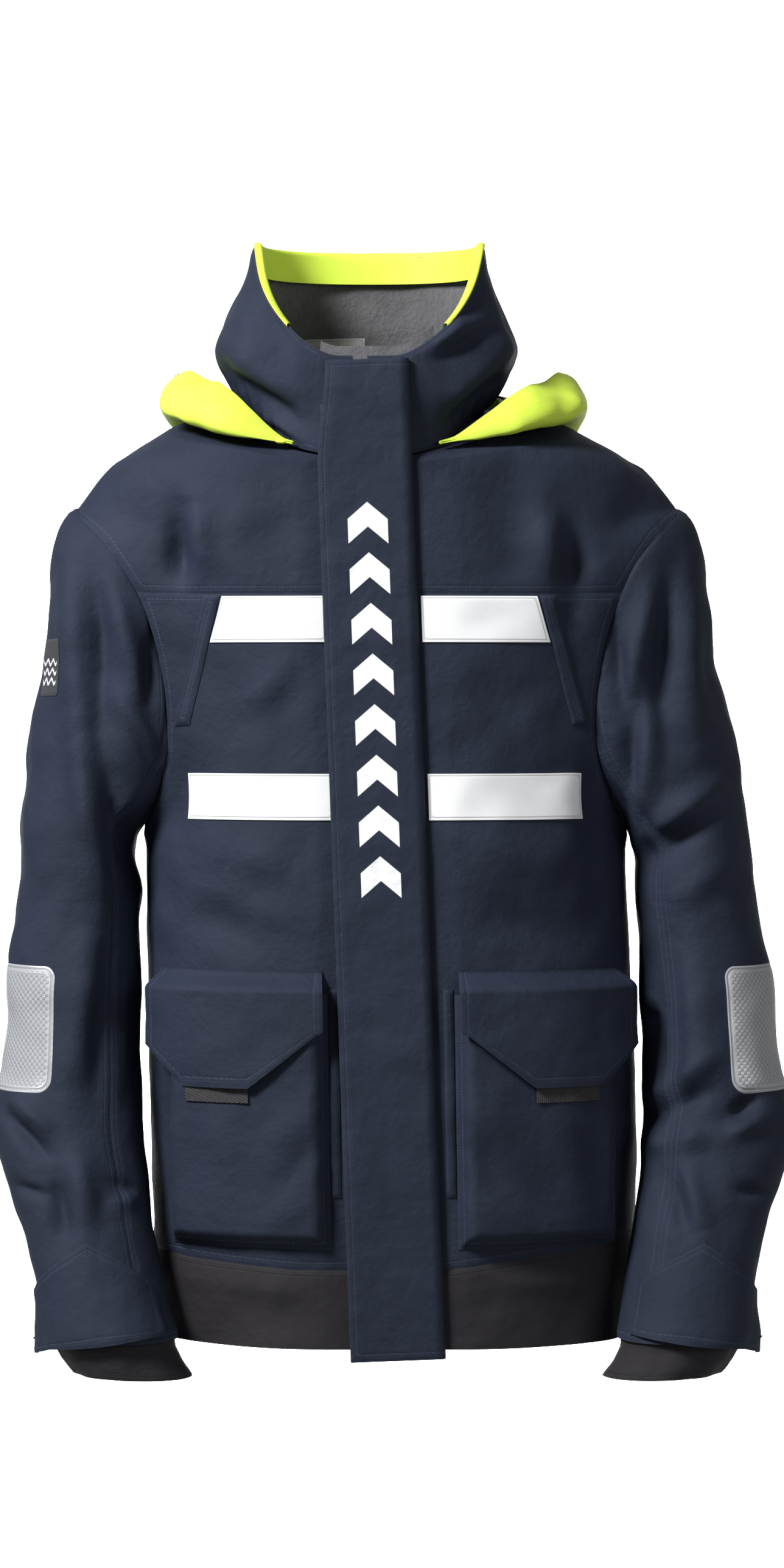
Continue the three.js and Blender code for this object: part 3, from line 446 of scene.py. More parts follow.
FRONT_FOLDS = (
    # from x, z to x, z, width, height
    (-156, -78, -158, -150, 11, -6.0),
    (-139, -70, -136, -128, 13, 3.2),
    (-112, -38, -98, -150, 22, 1.1),
    (-78, -50, -60, -150, 18, -0.9),
    (86, -40, 70, -150, 20, 1.0),
    (116, -44, 122, -150, 18, -1.1),
    (148, -66, 152, -142, 14, 3.2),
    (172, -92, 171, -170, 12, -5.0),
    (-98, -238, -70, -214, 12, 1.6),
    (-152, -262, -158, -352, 14, -2.2),
    (-110, -356, -60, -372, 18, 1.8),
    (-152, -402, -92, -428, 17, -2.0),
    (-96, -398, -46, -414, 15, 1.6),
    (76, -218, 138, -250, 20, -1.4),
    (84, -350, 170, -372, 20, 2.0),
    (96, -406, 176, -432, 18, -2.0),
    (188, -262, 190, -420, 14, -2.4),
    (-90, -566, -60, -640, 20, -2.2),
    (-138, -572, -128, -664, 18, 1.8),
    (122, -572, 92, -640, 18, -1.8),
    (160, -580, 168, -660, 20, 2.0),
    (-172, -560, -176, -690, 14, -3.0),
    (206, -540, 210, -690, 14, -3.0),
    (-150, -706, -60, -716, 12, 1.2),
    (96, -704, 190, -716, 12, 1.4),
)
BACK_FOLDS = (
    (-120, -130, -60, -210, 26, 3.0),
    (130, -130, 70, -210, 26, 3.0),
    (-60, -160, 70, -172, 24, -2.4),
    (-150, -200, -160, -330, 16, -4.0),
    (165, -200, 172, -330, 16, -4.0),
    (-110, -280, -40, -360, 26, 3.0),
    (120, -290, 56, -366, 26, 3.0),
    (-10, -240, -4, -420, 30, -2.6),
    (-150, -440, -60, -500, 26, 3.0),
    (160, -430, 80, -498, 26, 3.0),
    (-90, -560, 110, -572, 28, 2.6),
    (-140, -600, -130, -740, 20, 2.6),
    (-40, -610, -46, -745, 22, -2.2),
    (60, -606, 66, -745, 22, 2.4),
    (150, -600, 146, -742, 20, -2.4),
)


BODY_FOLD_GAIN = 2.6
BODY_CRUMPLE = 3.2
BODY_CRINKLE = 1.8


def body_folds(p):
    """How far the cloth of the trunk stands off its even surface, mm."""
    x, y, z = p.T
    front = ramp(40.0, -30.0, y)
    lift = front * folds(x, z, FRONT_FOLDS) + (1.0 - front) * folds(x, z, BACK_FOLDS)
    lift = BODY_FOLD_GAIN * lift + BODY_CRUMPLE * grain(p, 74.0)
    lift = lift + BODY_CRINKLE * grain(p, 31.0, 5.0)
    flap = ramp(34.0, 70.0, np.abs(from_zip(p))) * front + 1.0 - front
    return lift * (0.12 + 0.88 * flap) * ramp(-12.0, -52.0, z - 8.0)


def lay(base, a, b, lift, da, db, turn=1.0):
    """Points lifted along the outward side of a surface."""
    run = base(a + da, b) - base(a - da, b)
    rise = base(a, b + db) - base(a, b - db)
    out = np.cross(run, rise)
    out /= np.maximum(np.linalg.norm(out, axis=1), 1e-9)[:, None]
    return base(a, b) + out * (turn * lift)[:, None]


def cut_panel(name, base, spans, step, lift, cuts, finishes, thick=2.4, da=0.004,
              db=1.5, turn=1.0, borders="", closed=False, flat_size=None):
    """One piece of cloth: an even grid on a surface, cut to its seams and given a wall.

    A cut is positive on the cloth and negative past the seam, in millimetres. The points
    nearest a seam are slid on to it, and the faces beyond are dropped. borders names the
    sides of the grid that are seams or hems too. flat_size is not used: the area worked out
    for it is thrown away.
    """
    (a0, a1), (b0, b1) = spans
    middle = np.array(((a0 + a1) / 2.0, (b0 + b1) / 2.0))
    probe_a = base(np.linspace(a0, a1, 60), np.full(60, middle[1]))
    probe_b = base(np.full(60, middle[0]), np.linspace(b0, b1, 60))
    wide = np.linalg.norm(np.diff(probe_a, axis=0), axis=1).sum()
    tall = np.linalg.norm(np.diff(probe_b, axis=0), axis=1).sum()
    bm = bmesh.new()
    counts = [max(3, round(length / step)) for length in (wide, tall)]
    bmesh.ops.create_grid(bm, x_segments=counts[0], y_segments=counts[1], size=1.0)
    bmesh.ops.triangulate(bm, faces=bm.faces)
    mesh = bpy.data.meshes.new(name)
    bm.to_mesh(mesh)
    flat = np.zeros(len(mesh.vertices) * 3)
    mesh.vertices.foreach_get("co", flat)
    flat = flat.reshape(-1, 3)
    a = a0 + (a1 - a0) * (flat[:, 0] + 1.0) / 2.0
    b = b0 + (b1 - b0) * (flat[:, 1] + 1.0) / 2.0
    ends = np.zeros(len(mesh.edges) * 2, int)
    mesh.edges.foreach_get("vertices", ends)
    ends = ends.reshape(-1, 2)
    reach_a, reach_b = (a1 - a0) / wide, (b1 - b0) / tall
    for cut in cuts:
        inside = cut(base(a, b))
        crossing = ends[inside[ends[:, 0]] * inside[ends[:, 1]] < 0.0]
        nearer = np.abs(inside[crossing[:, 0]]) < np.abs(inside[crossing[:, 1]])
        on_seam = np.unique(np.where(nearer, crossing[:, 0], crossing[:, 1]))
        for _ in range(4 if len(on_seam) else 0):
            sa, sb = a[on_seam], b[on_seam]
            here = cut(base(sa, sb))
            slope_a = (cut(base(sa + 0.3 * reach_a, sb)) - here) / 0.3
            slope_b = (cut(base(sa, sb + 0.3 * reach_b)) - here) / 0.3
            pull = here / np.maximum(slope_a ** 2 + slope_b ** 2, 1e-3)
            a[on_seam] -= np.clip(pull * slope_a, -1.5 * step, 1.5 * step) * reach_a
            b[on_seam] -= np.clip(pull * slope_b, -1.5 * step, 1.5 * step) * reach_b
    bare = base(a, b)
    inside = np.full(len(a), 60.0)
    corners = np.zeros(len(mesh.loops), int)
    mesh.loops.foreach_get("vertex_index", corners)
    corners = corners.reshape(-1, 3)
    drop = np.zeros(len(corners), bool)
    for cut in cuts:
        room = cut(bare)
        drop |= room[corners].sum(axis=1) < -0.05
        inside = np.minimum(inside, room)
    for side, room in (("L", (a - a0) / reach_a), ("R", (a1 - a) / reach_a),
                       ("B", (b - b0) / reach_b), ("T", (b1 - b) / reach_b)):
        if side in borders:
            inside = np.minimum(inside, room)
    inside = np.maximum(inside, 0.0)
    spots = (lay(base, a, b, lift(bare, a, b, inside), da, db, turn) + bridge(bare)) * MM
    mesh.vertices.foreach_set("co", spots.ravel())
    edge = mesh.attributes.new("edge", "FLOAT", "POINT")
    edge.data.foreach_set("value", inside.astype(np.float32))
    sheet_uv = mesh.uv_layers.new(name="cloth")
    uv = np.stack(((a - a0) / reach_a, (b - b0) / reach_b), 1)[corners.ravel()] * MM
    sheet_uv.data.foreach_set("uv", uv.astype(np.float32).ravel())
    bm.clear()
    bm.from_mesh(mesh)
    bm.faces.ensure_lookup_table()
    gone = [bm.faces[i] for i in np.nonzero(drop)[0]]
    bmesh.ops.delete(bm, geom=gone, context="FACES")
    if closed:
        bmesh.ops.remove_doubles(bm, verts=bm.verts, dist=1e-6)
    if turn < 0.0:
        bmesh.ops.reverse_faces(bm, faces=bm.faces)
    area = sum(face.calc_area() for face in bm.faces)
    for face in bm.faces:
        face.smooth = True
    for rim in bm.edges:
        rim.smooth = not rim.is_boundary
    bm.to_mesh(mesh)
    bm.free()
    for finish in finishes:
        mesh.materials.append(finish.material)
    piece = link(name, mesh)
    if thick:
        wall = piece.modifiers.new("wall", "SOLIDIFY")
        wall.thickness = thick * MM
        wall.offset = -1.0
        wall.material_offset = 1 if len(finishes) > 1 else 0
    if flat_size:
        share = min(1.0, area / (wide * tall * MM * MM))
        max(0.3, share) * wide * tall * MM * MM
    return piece


def sew_on(piece, body, slot, *nodes):
    """The piece goes with a body and stands for these nodes."""
    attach(piece, body)
    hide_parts(*nodes)


def cloth_finish(name, deep, lit, rough, weave, wear, stitch, crumple=6.0):
    """Woven cloth: uneven dye, a fine weave, rows of stitches that follow the seams."""
    made = Finish(name, rough, Specular_IOR_Level=0.16)
    where = made.place()
    across, up, _ = made.split(made.cloth_uv())
    broad = made.speckle(where, 9.0, 4.0)
    fine = made.speckle(where, 420.0, 2.0)
    threads = (across * (6283.0 / weave)).math("SINE") * (up * (6283.0 / weave)).math("SINE")
    edge = made.value_of("edge")
    rows = edge.band(5.6, 0.35, 0.5)
    x, y, z = made.split(where)
    dash = ((x + y * 0.7 + z * 1.31) * 2100.0).math("SINE") * 2.2 + 1.1
    thread = rows * dash.clamp()
    ground = made.blend(broad * 0.7 + fine * 0.3, deep, lit)
    rubbed = (1.5 - edge).math("MAXIMUM", 0.0) * 0.35 * fine
    ground = made.blend(rubbed.math("MINIMUM", 1.0), ground, wear)
    made.feed("Base Color", made.blend(thread * 0.55, ground, stitch))
    made.feed("Roughness", rough - 0.06 + fine * 0.12 - thread * 0.1)
    sunk = edge.band(5.6, 0.9, 1.6) * -0.4
    crinkle = made.speckle(where, 34.0, 5.0, 0.62) * crumple
    made.relief(threads * 0.14 + fine * 0.22 + thread * 0.5 + sunk + crinkle, 0.0006, 0.8)
    return made


NAVY_DEEP = (0.009, 0.0125, 0.0245)
NAVY_LIT = (0.0212, 0.0275, 0.049)
NAVY_WORN = (0.034, 0.043, 0.07)
NAVY_STITCH = (0.046, 0.06, 0.1)
navy = cloth_finish("navy_shell_cloth", NAVY_DEEP, NAVY_LIT, 0.68, 0.9, NAVY_WORN, NAVY_STITCH)
charcoal = cloth_finish("charcoal_cloth", (0.012, 0.0105, 0.013), (0.026, 0.024, 0.028),
                        0.7, 1.2, (0.045, 0.043, 0.047), (0.008, 0.008, 0.009))
inner = cloth_finish("dark_inner_lining", (0.008, 0.008, 0.011), (0.014, 0.014, 0.018),
                     0.55, 0.7, (0.02, 0.02, 0.024), (0.01, 0.01, 0.012))
SEAM = 0.15
LAP = 2.0
YOKE_Z = -145.0
SIDE_Y = 6.0
BAND_FRONT = np.array(((-700, -690), (-164.8, -692), (-60, -699), (66, -699), (120, -692),
                       (206, -682), (700, -680)), float)
BAND_BACK = np.array(((-700, -690), (700, -680)), float)


def above(line, gap):
    return lambda p: p[:, 2] - np.interp(p[:, 0], line[:, 0], line[:, 1]) - gap


def below(line, gap):
    return lambda p: np.interp(p[:, 0], line[:, 0], line[:, 1]) - gap - p[:, 2]


def over(z):
    return lambda p: p[:, 2] - z


def under(z):
    return lambda p: z - p[:, 2]


def ahead(p):
    return SIDE_Y + 0.8 - p[:, 1]


def behind(p):
    return p[:, 1] - SIDE_Y - SEAM


def armhole(side):
    return lambda p: clear_of_sleeve(side, p) - 0.35


def zip_side(side):
    return lambda p: side * from_zip(p) - 6.0


def trunk_lift(p, a, b, inside):
    """Folds die out at the seams, which pull the cloth in a little."""
    tuck = 1.1 * np.exp(-(inside / 2.6) ** 2)
    return body_folds(p) * (0.35 + 0.65 * ramp(0.0, 26.0, inside)) - tuck


def hem_lift(p, a, b, inside):
    """The hem band's top edge is turned in behind the panel above it."""
    return trunk_lift(p, a, b, inside) - 0.9 * np.exp(-(inside / 2.5) ** 2)


for word, side in (("left", 1), ("right", -1)):
    turn_span = (0.0, 1.75) if side > 0 else (-1.75, 0.0)
    panel = cut_panel(
        f"front_cloth_{word}", body_at, (turn_span, (50.0, 632.0)), 3.0, trunk_lift,
        (zip_side(side), above(BAND_FRONT, SEAM), under(YOKE_Z - SEAM), ahead, armhole(side)),
        (navy, inner), flat_size="hung")
    sew_on(panel, "jacket", "navy_shell", f"front_panel_{word}")
    yoke = cut_panel(
        f"yoke_cloth_{word}", body_at, (turn_span, (608.0, NECK_WALK + 66.0)), 3.0, trunk_lift,
        (zip_side(side), over(YOKE_Z - LAP / 2.0), ahead, armhole(side)),
        (navy, inner), flat_size="hung")
    sew_on(yoke, "jacket", "navy_shell", f"front_yoke_{word}")
    hem = cut_panel(
        f"hem_cloth_{word}", body_at, (turn_span, (0.5, 92.0)), 2.6, hem_lift,
        (zip_side(side), below(BAND_FRONT, -LAP), ahead), (charcoal, inner),
        flat_size="hung")
    sew_on(hem, "jacket", "charcoal_trim", f"hem_band_{word}")

BACK_SPAN = (1.3, 2.0 * math.pi - 1.3)
back = cut_panel(
    "back_cloth", body_at, (BACK_SPAN, (58.0, 626.0)), 3.6, trunk_lift,
    (above(BAND_BACK, SEAM), under(YOKE_Z - 8.0 - SEAM), behind, armhole(1), armhole(-1)),
    (navy, inner), flat_size="hung")
sew_on(back, "jacket", "navy_shell", "back_panel")
back_yoke = cut_panel(
    "back_yoke_cloth", body_at, (BACK_SPAN, (600.0, NECK_WALK + 66.0)), 3.4, trunk_lift,
    (over(YOKE_Z - 8.0 - LAP / 2.0), behind, armhole(1), armhole(-1)), (navy, inner),
    flat_size="hung")
sew_on(back_yoke, "jacket", "navy_shell", "back_yoke")
back_hem = cut_panel(
    "back_hem_cloth", body_at, (BACK_SPAN, (0.5, 92.0)), 3.0, hem_lift,
    (below(BAND_BACK, -LAP), behind), (charcoal, inner), flat_size="hung")
sew_on(back_hem, "jacket", "charcoal_trim", "hem_band_back")

# ---- collar ----
# A tall funnel collar of the navy cloth, lined with charcoal fleece and faced along its
# top edge with bright cloth. Elastic gathers it at the sides, over a curved neck seam.
COLLAR_FOLDS = (
    # from x, z to x, z, width, height
    (-122, 66, -58, 12, 12, 5.2),
    (-112, 40, -50, -8, 8, -5.4),
    (-100, 20, -50, -20, 7, 4.2),
    (-88, -4, -56, -26, 5, -3.2),
    (-84, 118, -64, 50, 12, -3.0),
    (-104, 96, -90, 44, 11, 3.2),
    (-56, 50, -42, -6, 10, 2.4),
    (124, 68, 64, 8, 12, 5.0),
    (114, 42, 66, -12, 8, -5.2),
    (104, 20, 66, -24, 7, 4.0),
    (92, -2, 62, -28, 5, -3.0),
    (98, 86, 52, 62, 9, 3.6),
    (104, 74, 56, 46, 7, -3.6),
    (90, 122, 84, 60, 12, -2.4),
)


def collar_lift(p, a, b, inside):
    front = ramp(50.0, 0.0, p[:, 1])
    lift = 1.7 * front * folds(p[:, 0], p[:, 2], COLLAR_FOLDS)
    lift += 2.4 * grain(p, 42.0, 3.0) + 1.2 * grain(p, 19.0, 9.0)
    away = np.abs(np.arctan2(np.sin(a), np.cos(a)))
    gather = ramp(0.75, 1.0, away) * ramp(0.42, 0.05, b)
    lift += gather * 1.5 * np.sin(a * 46.0 + 1.4 * np.sin(b * 9.0))
    calm = ramp(0.0, 0.12, b) * ramp(34.0, 70.0, np.abs(from_zip(p)) + 200.0 * (p[:, 1] > 0))
    return lift * (0.1 + 0.9 * calm) * (0.3 + 0.7 * ramp(1.0, 0.9, b)) - 0.9 * np.exp(
        -(inside / 2.6) ** 2)


def collar_slot(p):
    return np.abs(from_zip(p)) - 6.0 + 200.0 * (p[:, 1] > 0)


ROUND = (0.0, 2.0 * math.pi)
collar = cut_panel("collar_cloth", collar_at, (ROUND, (0.018, 1.0)), 2.6, collar_lift,
                   (collar_slot,), (navy,), db=0.02, borders="TB", flat_size="gathered")
sew_on(collar, "jacket", "navy_shell", "collar_shell")

fleece = Finish("charcoal_fleece", 0.95, Sheen_Weight=0.3, Sheen_Roughness=0.6)
spot = fleece.place()
tufts = fleece.speckle(spot, 260.0, 6.0, 0.7)
clumps = fleece.speckle(spot, 70.0, 3.0)
fleece.feed("Base Color", fleece.blend(tufts * 0.6 + clumps * 0.4, (0.03, 0.03, 0.035),
                                       (0.13, 0.128, 0.14)))
fleece.feed("Roughness", 0.85 + tufts * 0.12)
fleece.relief(tufts + clumps * 0.6, 0.0016)


def lining_lift(p, a, b, inside):
    return -3.3 + collar_lift(p, a, b, inside) * 0.55 - 0.7 + 0.5 * grain(p, 12.0)


lining = cut_panel("collar_fleece", collar_at, (ROUND, (0.018, 0.985)), 2.8, lining_lift,
                   (lambda p: np.abs(from_zip(p)) - 17.0 + 200.0 * (p[:, 1] > 0),),
                   (fleece,), db=0.02, borders="T", thick=2.2, flat_size="gathered")
sew_on(lining, "jacket", "grey_fleece", "collar_lining")

bright = Finish("bright_cloth", 0.6, Specular_IOR_Level=0.3)
spot = bright.place()
along, rise, _ = bright.split(bright.cloth_uv())
broad = bright.speckle(spot, 14.0, 4.0)
fine = bright.speckle(spot, 380.0, 2.0)
ribs = (along * 5200.0).math("SINE") * (rise * 5200.0).math("SINE")
edge = bright.value_of("edge")
stitches = edge.band(6.0, 0.35, 0.5)
ground = bright.blend(broad * 0.75 + fine * 0.25, (0.52, 0.72, 0.045), (0.72, 0.9, 0.1))
bright.feed("Base Color", bright.blend(stitches * 0.5, ground, (0.36, 0.5, 0.04)))
bright.feed("Roughness", 0.55 + fine * 0.12)
bright.relief(ribs * 0.12 + fine * 0.2 - edge.band(6.0, 0.8, 1.4) * 0.5, 0.0006, 0.8)


def facing_at(phi, v):
    """Up the inside of the collar, over its top edge and just down the outside."""
    p = collar_at(phi, np.ones_like(phi))
    run = collar_at(phi + 0.004, np.ones_like(phi)) - collar_at(phi - 0.004, np.ones_like(phi))
    run /= np.linalg.norm(run, axis=1)[:, None]
    out = np.stack((run[:, 1], -run[:, 0], np.zeros(len(phi))), 1)
    out /= np.linalg.norm(out, axis=1)[:, None]
    # out from the collar's edge, up from it
    path = np.array(((-7.2, -26.0), (-7.0, -8.0), (-6.6, -1.5), (-4.6, 1.0), (-1.2, 1.5),
                     (0.75, 0.4), (0.9, -1.4)))
    k = v * (len(path) - 1)
    outwards = np.interp(k, np.arange(len(path)), path[:, 0])
    upwards = np.interp(k, np.arange(len(path)), path[:, 1])
    return p + out * outwards[:, None] + np.array((0.0, 0.0, 1.0)) * upwards[:, None]


facing = cut_panel("collar_bright_facing", facing_at, ((0.62, 2 * math.pi - 0.62), (0.0, 1.0)),
                   1.6, lambda p, a, b, inside: 0.5 * grain(p, 30.0) * (1.0 - b), (),
                   (bright,), thick=0.0, db=0.01, turn=-1.0, borders="LR",
                   flat_size="gathered")
sew_on(facing, "jacket", "bright_hood", "collar_facing")


def guard_lift(p, a, b, inside):
    return -6.4 + 0.8 * grain(p, 16.0) + 1.2 * np.exp(-((a - 0.08) / 0.1) ** 2)


guard = cut_panel("chin_guard_fleece", collar_at, ((-0.36, 0.54), (0.4, 1.1)), 1.8,
                  guard_lift, (), (fleece,), db=0.02, thick=2.4, borders="LRT",
                  flat_size="folded")
sew_on(guard, "jacket", "grey_fleece", "chin_guard")

# ---- hood, lowered ----
# A bright cloth hood that lies open round the back of the collar, lined with dark mesh.
# It is sewn into the neck seam; its rolled edge makes a wing on each shoulder.
HOOD_FROM = 0.62
HOOD_PROFILE = np.array(((0.08, 0.05), (0.45, 0.04), (0.8, 0.05), (0.96, 0.16), (1.0, 0.42),
                         (0.93, 0.72), (0.78, 0.93), (0.62, 1.0)))
hood_turns = np.linspace(HOOD_FROM - 0.1, 2 * math.pi - HOOD_FROM + 0.1, 241)
hood_steps = np.arange(0.0, 210.0, 2.0)
hood_walks = []
for turn_here in hood_turns:
    walks = np.arange(NECK_WALK + 68.0, 300.0, -4.0)
    spots = body_at(np.full(len(walks), turn_here), walks)
    gone_by = np.linalg.norm(np.diff(spots, axis=0), axis=1)
    hood_walks.append(np.interp(hood_steps, np.append(0.0, np.cumsum(gone_by)), walks))
hood_walks = np.array(hood_walks)


def walk_down(phi, distance):
    i = (phi - hood_turns[0]) / (hood_turns[1] - hood_turns[0])
    j = np.clip(distance, 0.5, 207.0) / 2.0
    i0 = np.clip(i.astype(int), 0, len(hood_turns) - 2)
    j0 = np.clip(j.astype(int), 0, len(hood_steps) - 2)
    fi, fj = i - i0, j - j0
    low = hood_walks[i0, j0] * (1 - fj) + hood_walks[i0, j0 + 1] * fj
    high = hood_walks[i0 + 1, j0] * (1 - fj) + hood_walks[i0 + 1, j0 + 1] * fj
    return low * (1 - fi) + high * fi


def hood_at(phi, v):
    away = np.abs(np.arctan2(np.sin(phi), np.cos(phi)))
    wing = 52.0 * (1.0 + 0.12 * np.tanh(3.0 * np.sin(phi)))
    width = wing * ramp(0.55, 1.45, away) + 24.0 + 116.0 * ramp(1.7, 3.0, away)
    height = 7.0 + 33.0 * ramp(0.6, 1.15, away) + 22.0 * ramp(1.7, 2.8, away)
    point = 0.12 + 0.88 * ramp(0.6, 0.98, away)
    k = np.clip(v, 0.0, 1.0) * (len(HOOD_PROFILE) - 1)
    soft = [np.interp(k + shift, np.arange(len(HOOD_PROFILE)), HOOD_PROFILE[:, column])
            for column in (0, 1) for shift in (-0.35, 0.0, 0.35)]
    back_in = np.where(np.sin(phi) > 0, 0.26, 0.46) * ramp(2.1, 1.3, away) * ramp(0.5, 1.0, v)
    down = ((soft[0] + soft[1] + soft[2]) / 3.0 - back_in) * width * point
    up = 6.5 + (soft[3] + soft[4] + soft[5]) / 3.0 * height * point
    lean = np.stack((0.5 * np.sin(phi), -0.5 * np.cos(phi), np.full_like(phi, 0.85)), 1)
    lean /= np.linalg.norm(lean, axis=1)[:, None]
    return body_at(phi, walk_down(phi, down)) + lean * up[:, None]


def hood_lift(p, a, b, inside):
    away = np.abs(np.arctan2(np.sin(a), np.cos(a)))
    ripple = 2.2 * np.sin(away * 13.0 + 2.4 * np.sin(b * 4.0)) * ramp(0.9, 1.5, away)
    ease = 2.4 * grain(p, 46.0, 11.0) + 1.1 * grain(p, 20.0, 2.0) + ripple * ramp(0.3, 0.7, b)
    return (ease - 1.4) * ramp(0.0, 0.25, b) * ramp(0.62, 0.9, away)


def hood_lining_lift(p, a, b, inside):
    return hood_lift(p, a, b, inside) - 3.0 - 0.5 * ramp(0.0, 0.3, b)


hood_span = (HOOD_FROM, 2 * math.pi - HOOD_FROM)
hood = cut_panel("hood_cloth", hood_at, (hood_span, (0.0, 1.0)), 3.0, hood_lift, (),
                 (bright,), thick=1.6, da=0.01, db=0.02, borders="LRT",
                 flat_size="gathered")
sew_on(hood, "jacket", "bright_hood", "hood_shell")

mesh_cloth = Finish("dark_mesh_lining", 0.7, Specular_IOR_Level=0.3)
along, rise, _ = mesh_cloth.split(mesh_cloth.cloth_uv())
cells = (along * 2400.0).math("SINE") * (rise * 2400.0).math("SINE")
fuzz = mesh_cloth.speckle(mesh_cloth.place(), 90.0)
mesh_cloth.feed("Base Color", mesh_cloth.blend(cells * 0.35 + fuzz * 0.5, (0.006, 0.006, 0.008),
                                               (0.035, 0.034, 0.038)))
mesh_cloth.feed("Roughness", 0.6 + fuzz * 0.2)
mesh_cloth.relief(cells, 0.0005, 0.7)
hood_mesh = cut_panel("hood_mesh_lining", hood_at,
                      ((HOOD_FROM + 0.3, 2 * math.pi - HOOD_FROM - 0.3), (0.02, 0.97)), 3.4,
                      hood_lining_lift, (), (mesh_cloth,), thick=0.8, da=0.01, db=0.02,
                      flat_size="gathered")
sew_on(hood_mesh, "jacket", "charcoal_trim", "hood_lining")

# ---- sleeves ----
# Each sleeve is a tube of the navy cloth in a top and an under half, sewn into the
# armhole and shaped at the elbow with pleats.
ELBOW_Z = -400.0
CUFF_Z = -758.0
TOP_SEAMS = (-2.0, 2.25)
UNDER_SEAMS = (2.25, 2 * math.pi - 2.0)
SLEEVE_FOLDS = {
    # from x, z to x, z, width, height
    -1: (
        (-240, -100, -240, -270, 15, 4.0),
        (-240, -262, -216, -398, 15, 3.6),
        (-222, -120, -221, -270, 11, -4.4),
        (-221, -262, -197, -388, 13, -4.4),
        (-210, -138, -184, -240, 11, 3.8),
        (-171, -168, -180, -242, 8, -3.6),
        (-208, -222, -172, -292, 10, 3.4),
        (-196, -252, -168, -300, 6, -2.6),
        (-258, -230, -252, -360, 16, -2.0),
        (-226, -420, -242, -556, 16, 3.6),
        (-212, -430, -222, -566, 14, -3.4),
        (-300, -574, -264, -608, 7, -4.2),
        (-296, -560, -256, -590, 9, 3.2),
        (-292, -634, -262, -640, 5, -2.4),
        (-254, -626, -248, -676, 9, -4.0),
        (-238, -606, -228, -668, 11, 3.6),
        (-210, -628, -188, -642, 6, -3.6),
        (-206, -652, -190, -636, 8, 3.2),
        (-262, -462, -256, -540, 12, 0.8),
    ),
    1: (
        (262, -104, 270, -270, 15, 3.8),
        (250, -124, 244, -262, 11, -4.2),
        (236, -140, 214, -232, 11, 3.8),
        (204, -170, 212, -246, 8, -3.6),
        (222, -236, 214, -330, 9, -3.4),
        (236, -232, 228, -330, 12, 3.6),
        (228, -352, 300, -296, 13, 3.4),
        (226, -372, 292, -322, 11, -3.6),
        (252, -404, 300, -366, 13, 2.4),
        (268, -430, 276, -560, 16, 3.0),
        (250, -440, 252, -560, 13, -3.6),
        (232, -566, 290, -526, 10, 3.4),
        (230, -584, 282, -556, 8, -4.4),
        (300, -576, 326, -560, 7, -3.6),
        (296, -592, 330, -578, 8, 3.0),
        (236, -604, 282, -590, 9, 3.2),
        (304, -634, 332, -640, 5, -2.4),
        (246, -618, 262, -668, 9, -3.8),
        (262, -612, 276, -668, 10, 3.2),
    ),
}
SLEEVE_BACK_FOLDS = (
    # from how far outwards, z to how far outwards, z, width, height
    (-30, -150, 30, -230, 18, 3.4),
    (-36, -210, 26, -290, 15, -3.6),
    (-30, -300, 30, -350, 16, 3.2),
    (-40, -372, 40, -384, 11, -4.6),
    (-36, -400, 40, -412, 12, 4.0),
    (-40, -430, 36, -440, 10, -3.6),
    (-10, -470, -4, -600, 16, -2.6),
    (-36, -610, 36, -640, 12, 3.2),
    (-36, -640, 30, -664, 9, -3.0),
)


def sleeve_surface(side):
    def sleeve_at(turn, z):
        x, y, half_w, half_d = sleeve_oval(side, z)
        return np.stack((x + side * half_w * np.cos(turn), y - half_d * np.sin(turn), z), 1)
    return sleeve_at


def sleeve_turn(side, p):
    x, y, half_w, half_d = sleeve_oval(side, p[:, 2])
    return np.arctan2((y - p[:, 1]) / half_d, side * (p[:, 0] - x) / half_w)


def sleeve_folds(side, p):
    x, y, half_w, half_d = sleeve_oval(side, p[:, 2])
    front = ramp(-0.25, 0.35, (y - p[:, 1]) / half_d)
    lift = front * folds(p[:, 0], p[:, 2], SLEEVE_FOLDS[side])
    lift += (1 - front) * folds(side * (p[:, 0] - x), p[:, 2], SLEEVE_BACK_FOLDS)
    return 2.5 * lift + 3.2 * grain(p, 60.0, side * 4.0) + 1.6 * grain(p, 27.0, 7.0)


def sleeve_lift(side):
    def lifted(p, a, b, inside):
        tuck = 1.0 * np.exp(-(inside / 2.6) ** 2)
        ease = sleeve_folds(side, p) * (0.35 + 0.65 * ramp(0.0, 20.0, inside))
        under = 0.5 * (p[:, 2] < ELBOW_Z - 0.5) * (np.min(p[:, 2]) > ELBOW_Z - 10.0)
        lap = 7.0 * ramp(1.0, 14.0, -clear_of_body(p)) * (p[:, 2] > ELBOW_Z)
        return ease * (0.3 + 0.7 * ramp(CUFF_Z, CUFF_Z + 50.0, p[:, 2])) - tuck - under - lap
    return lifted


def armhole_edge(p):
    """The sleeve laps into the armhole, most of all at its gusset under the arm."""
    return clear_of_body(p) + 34.0 + 30.0 * ramp(-190.0, -260.0, p[:, 2])


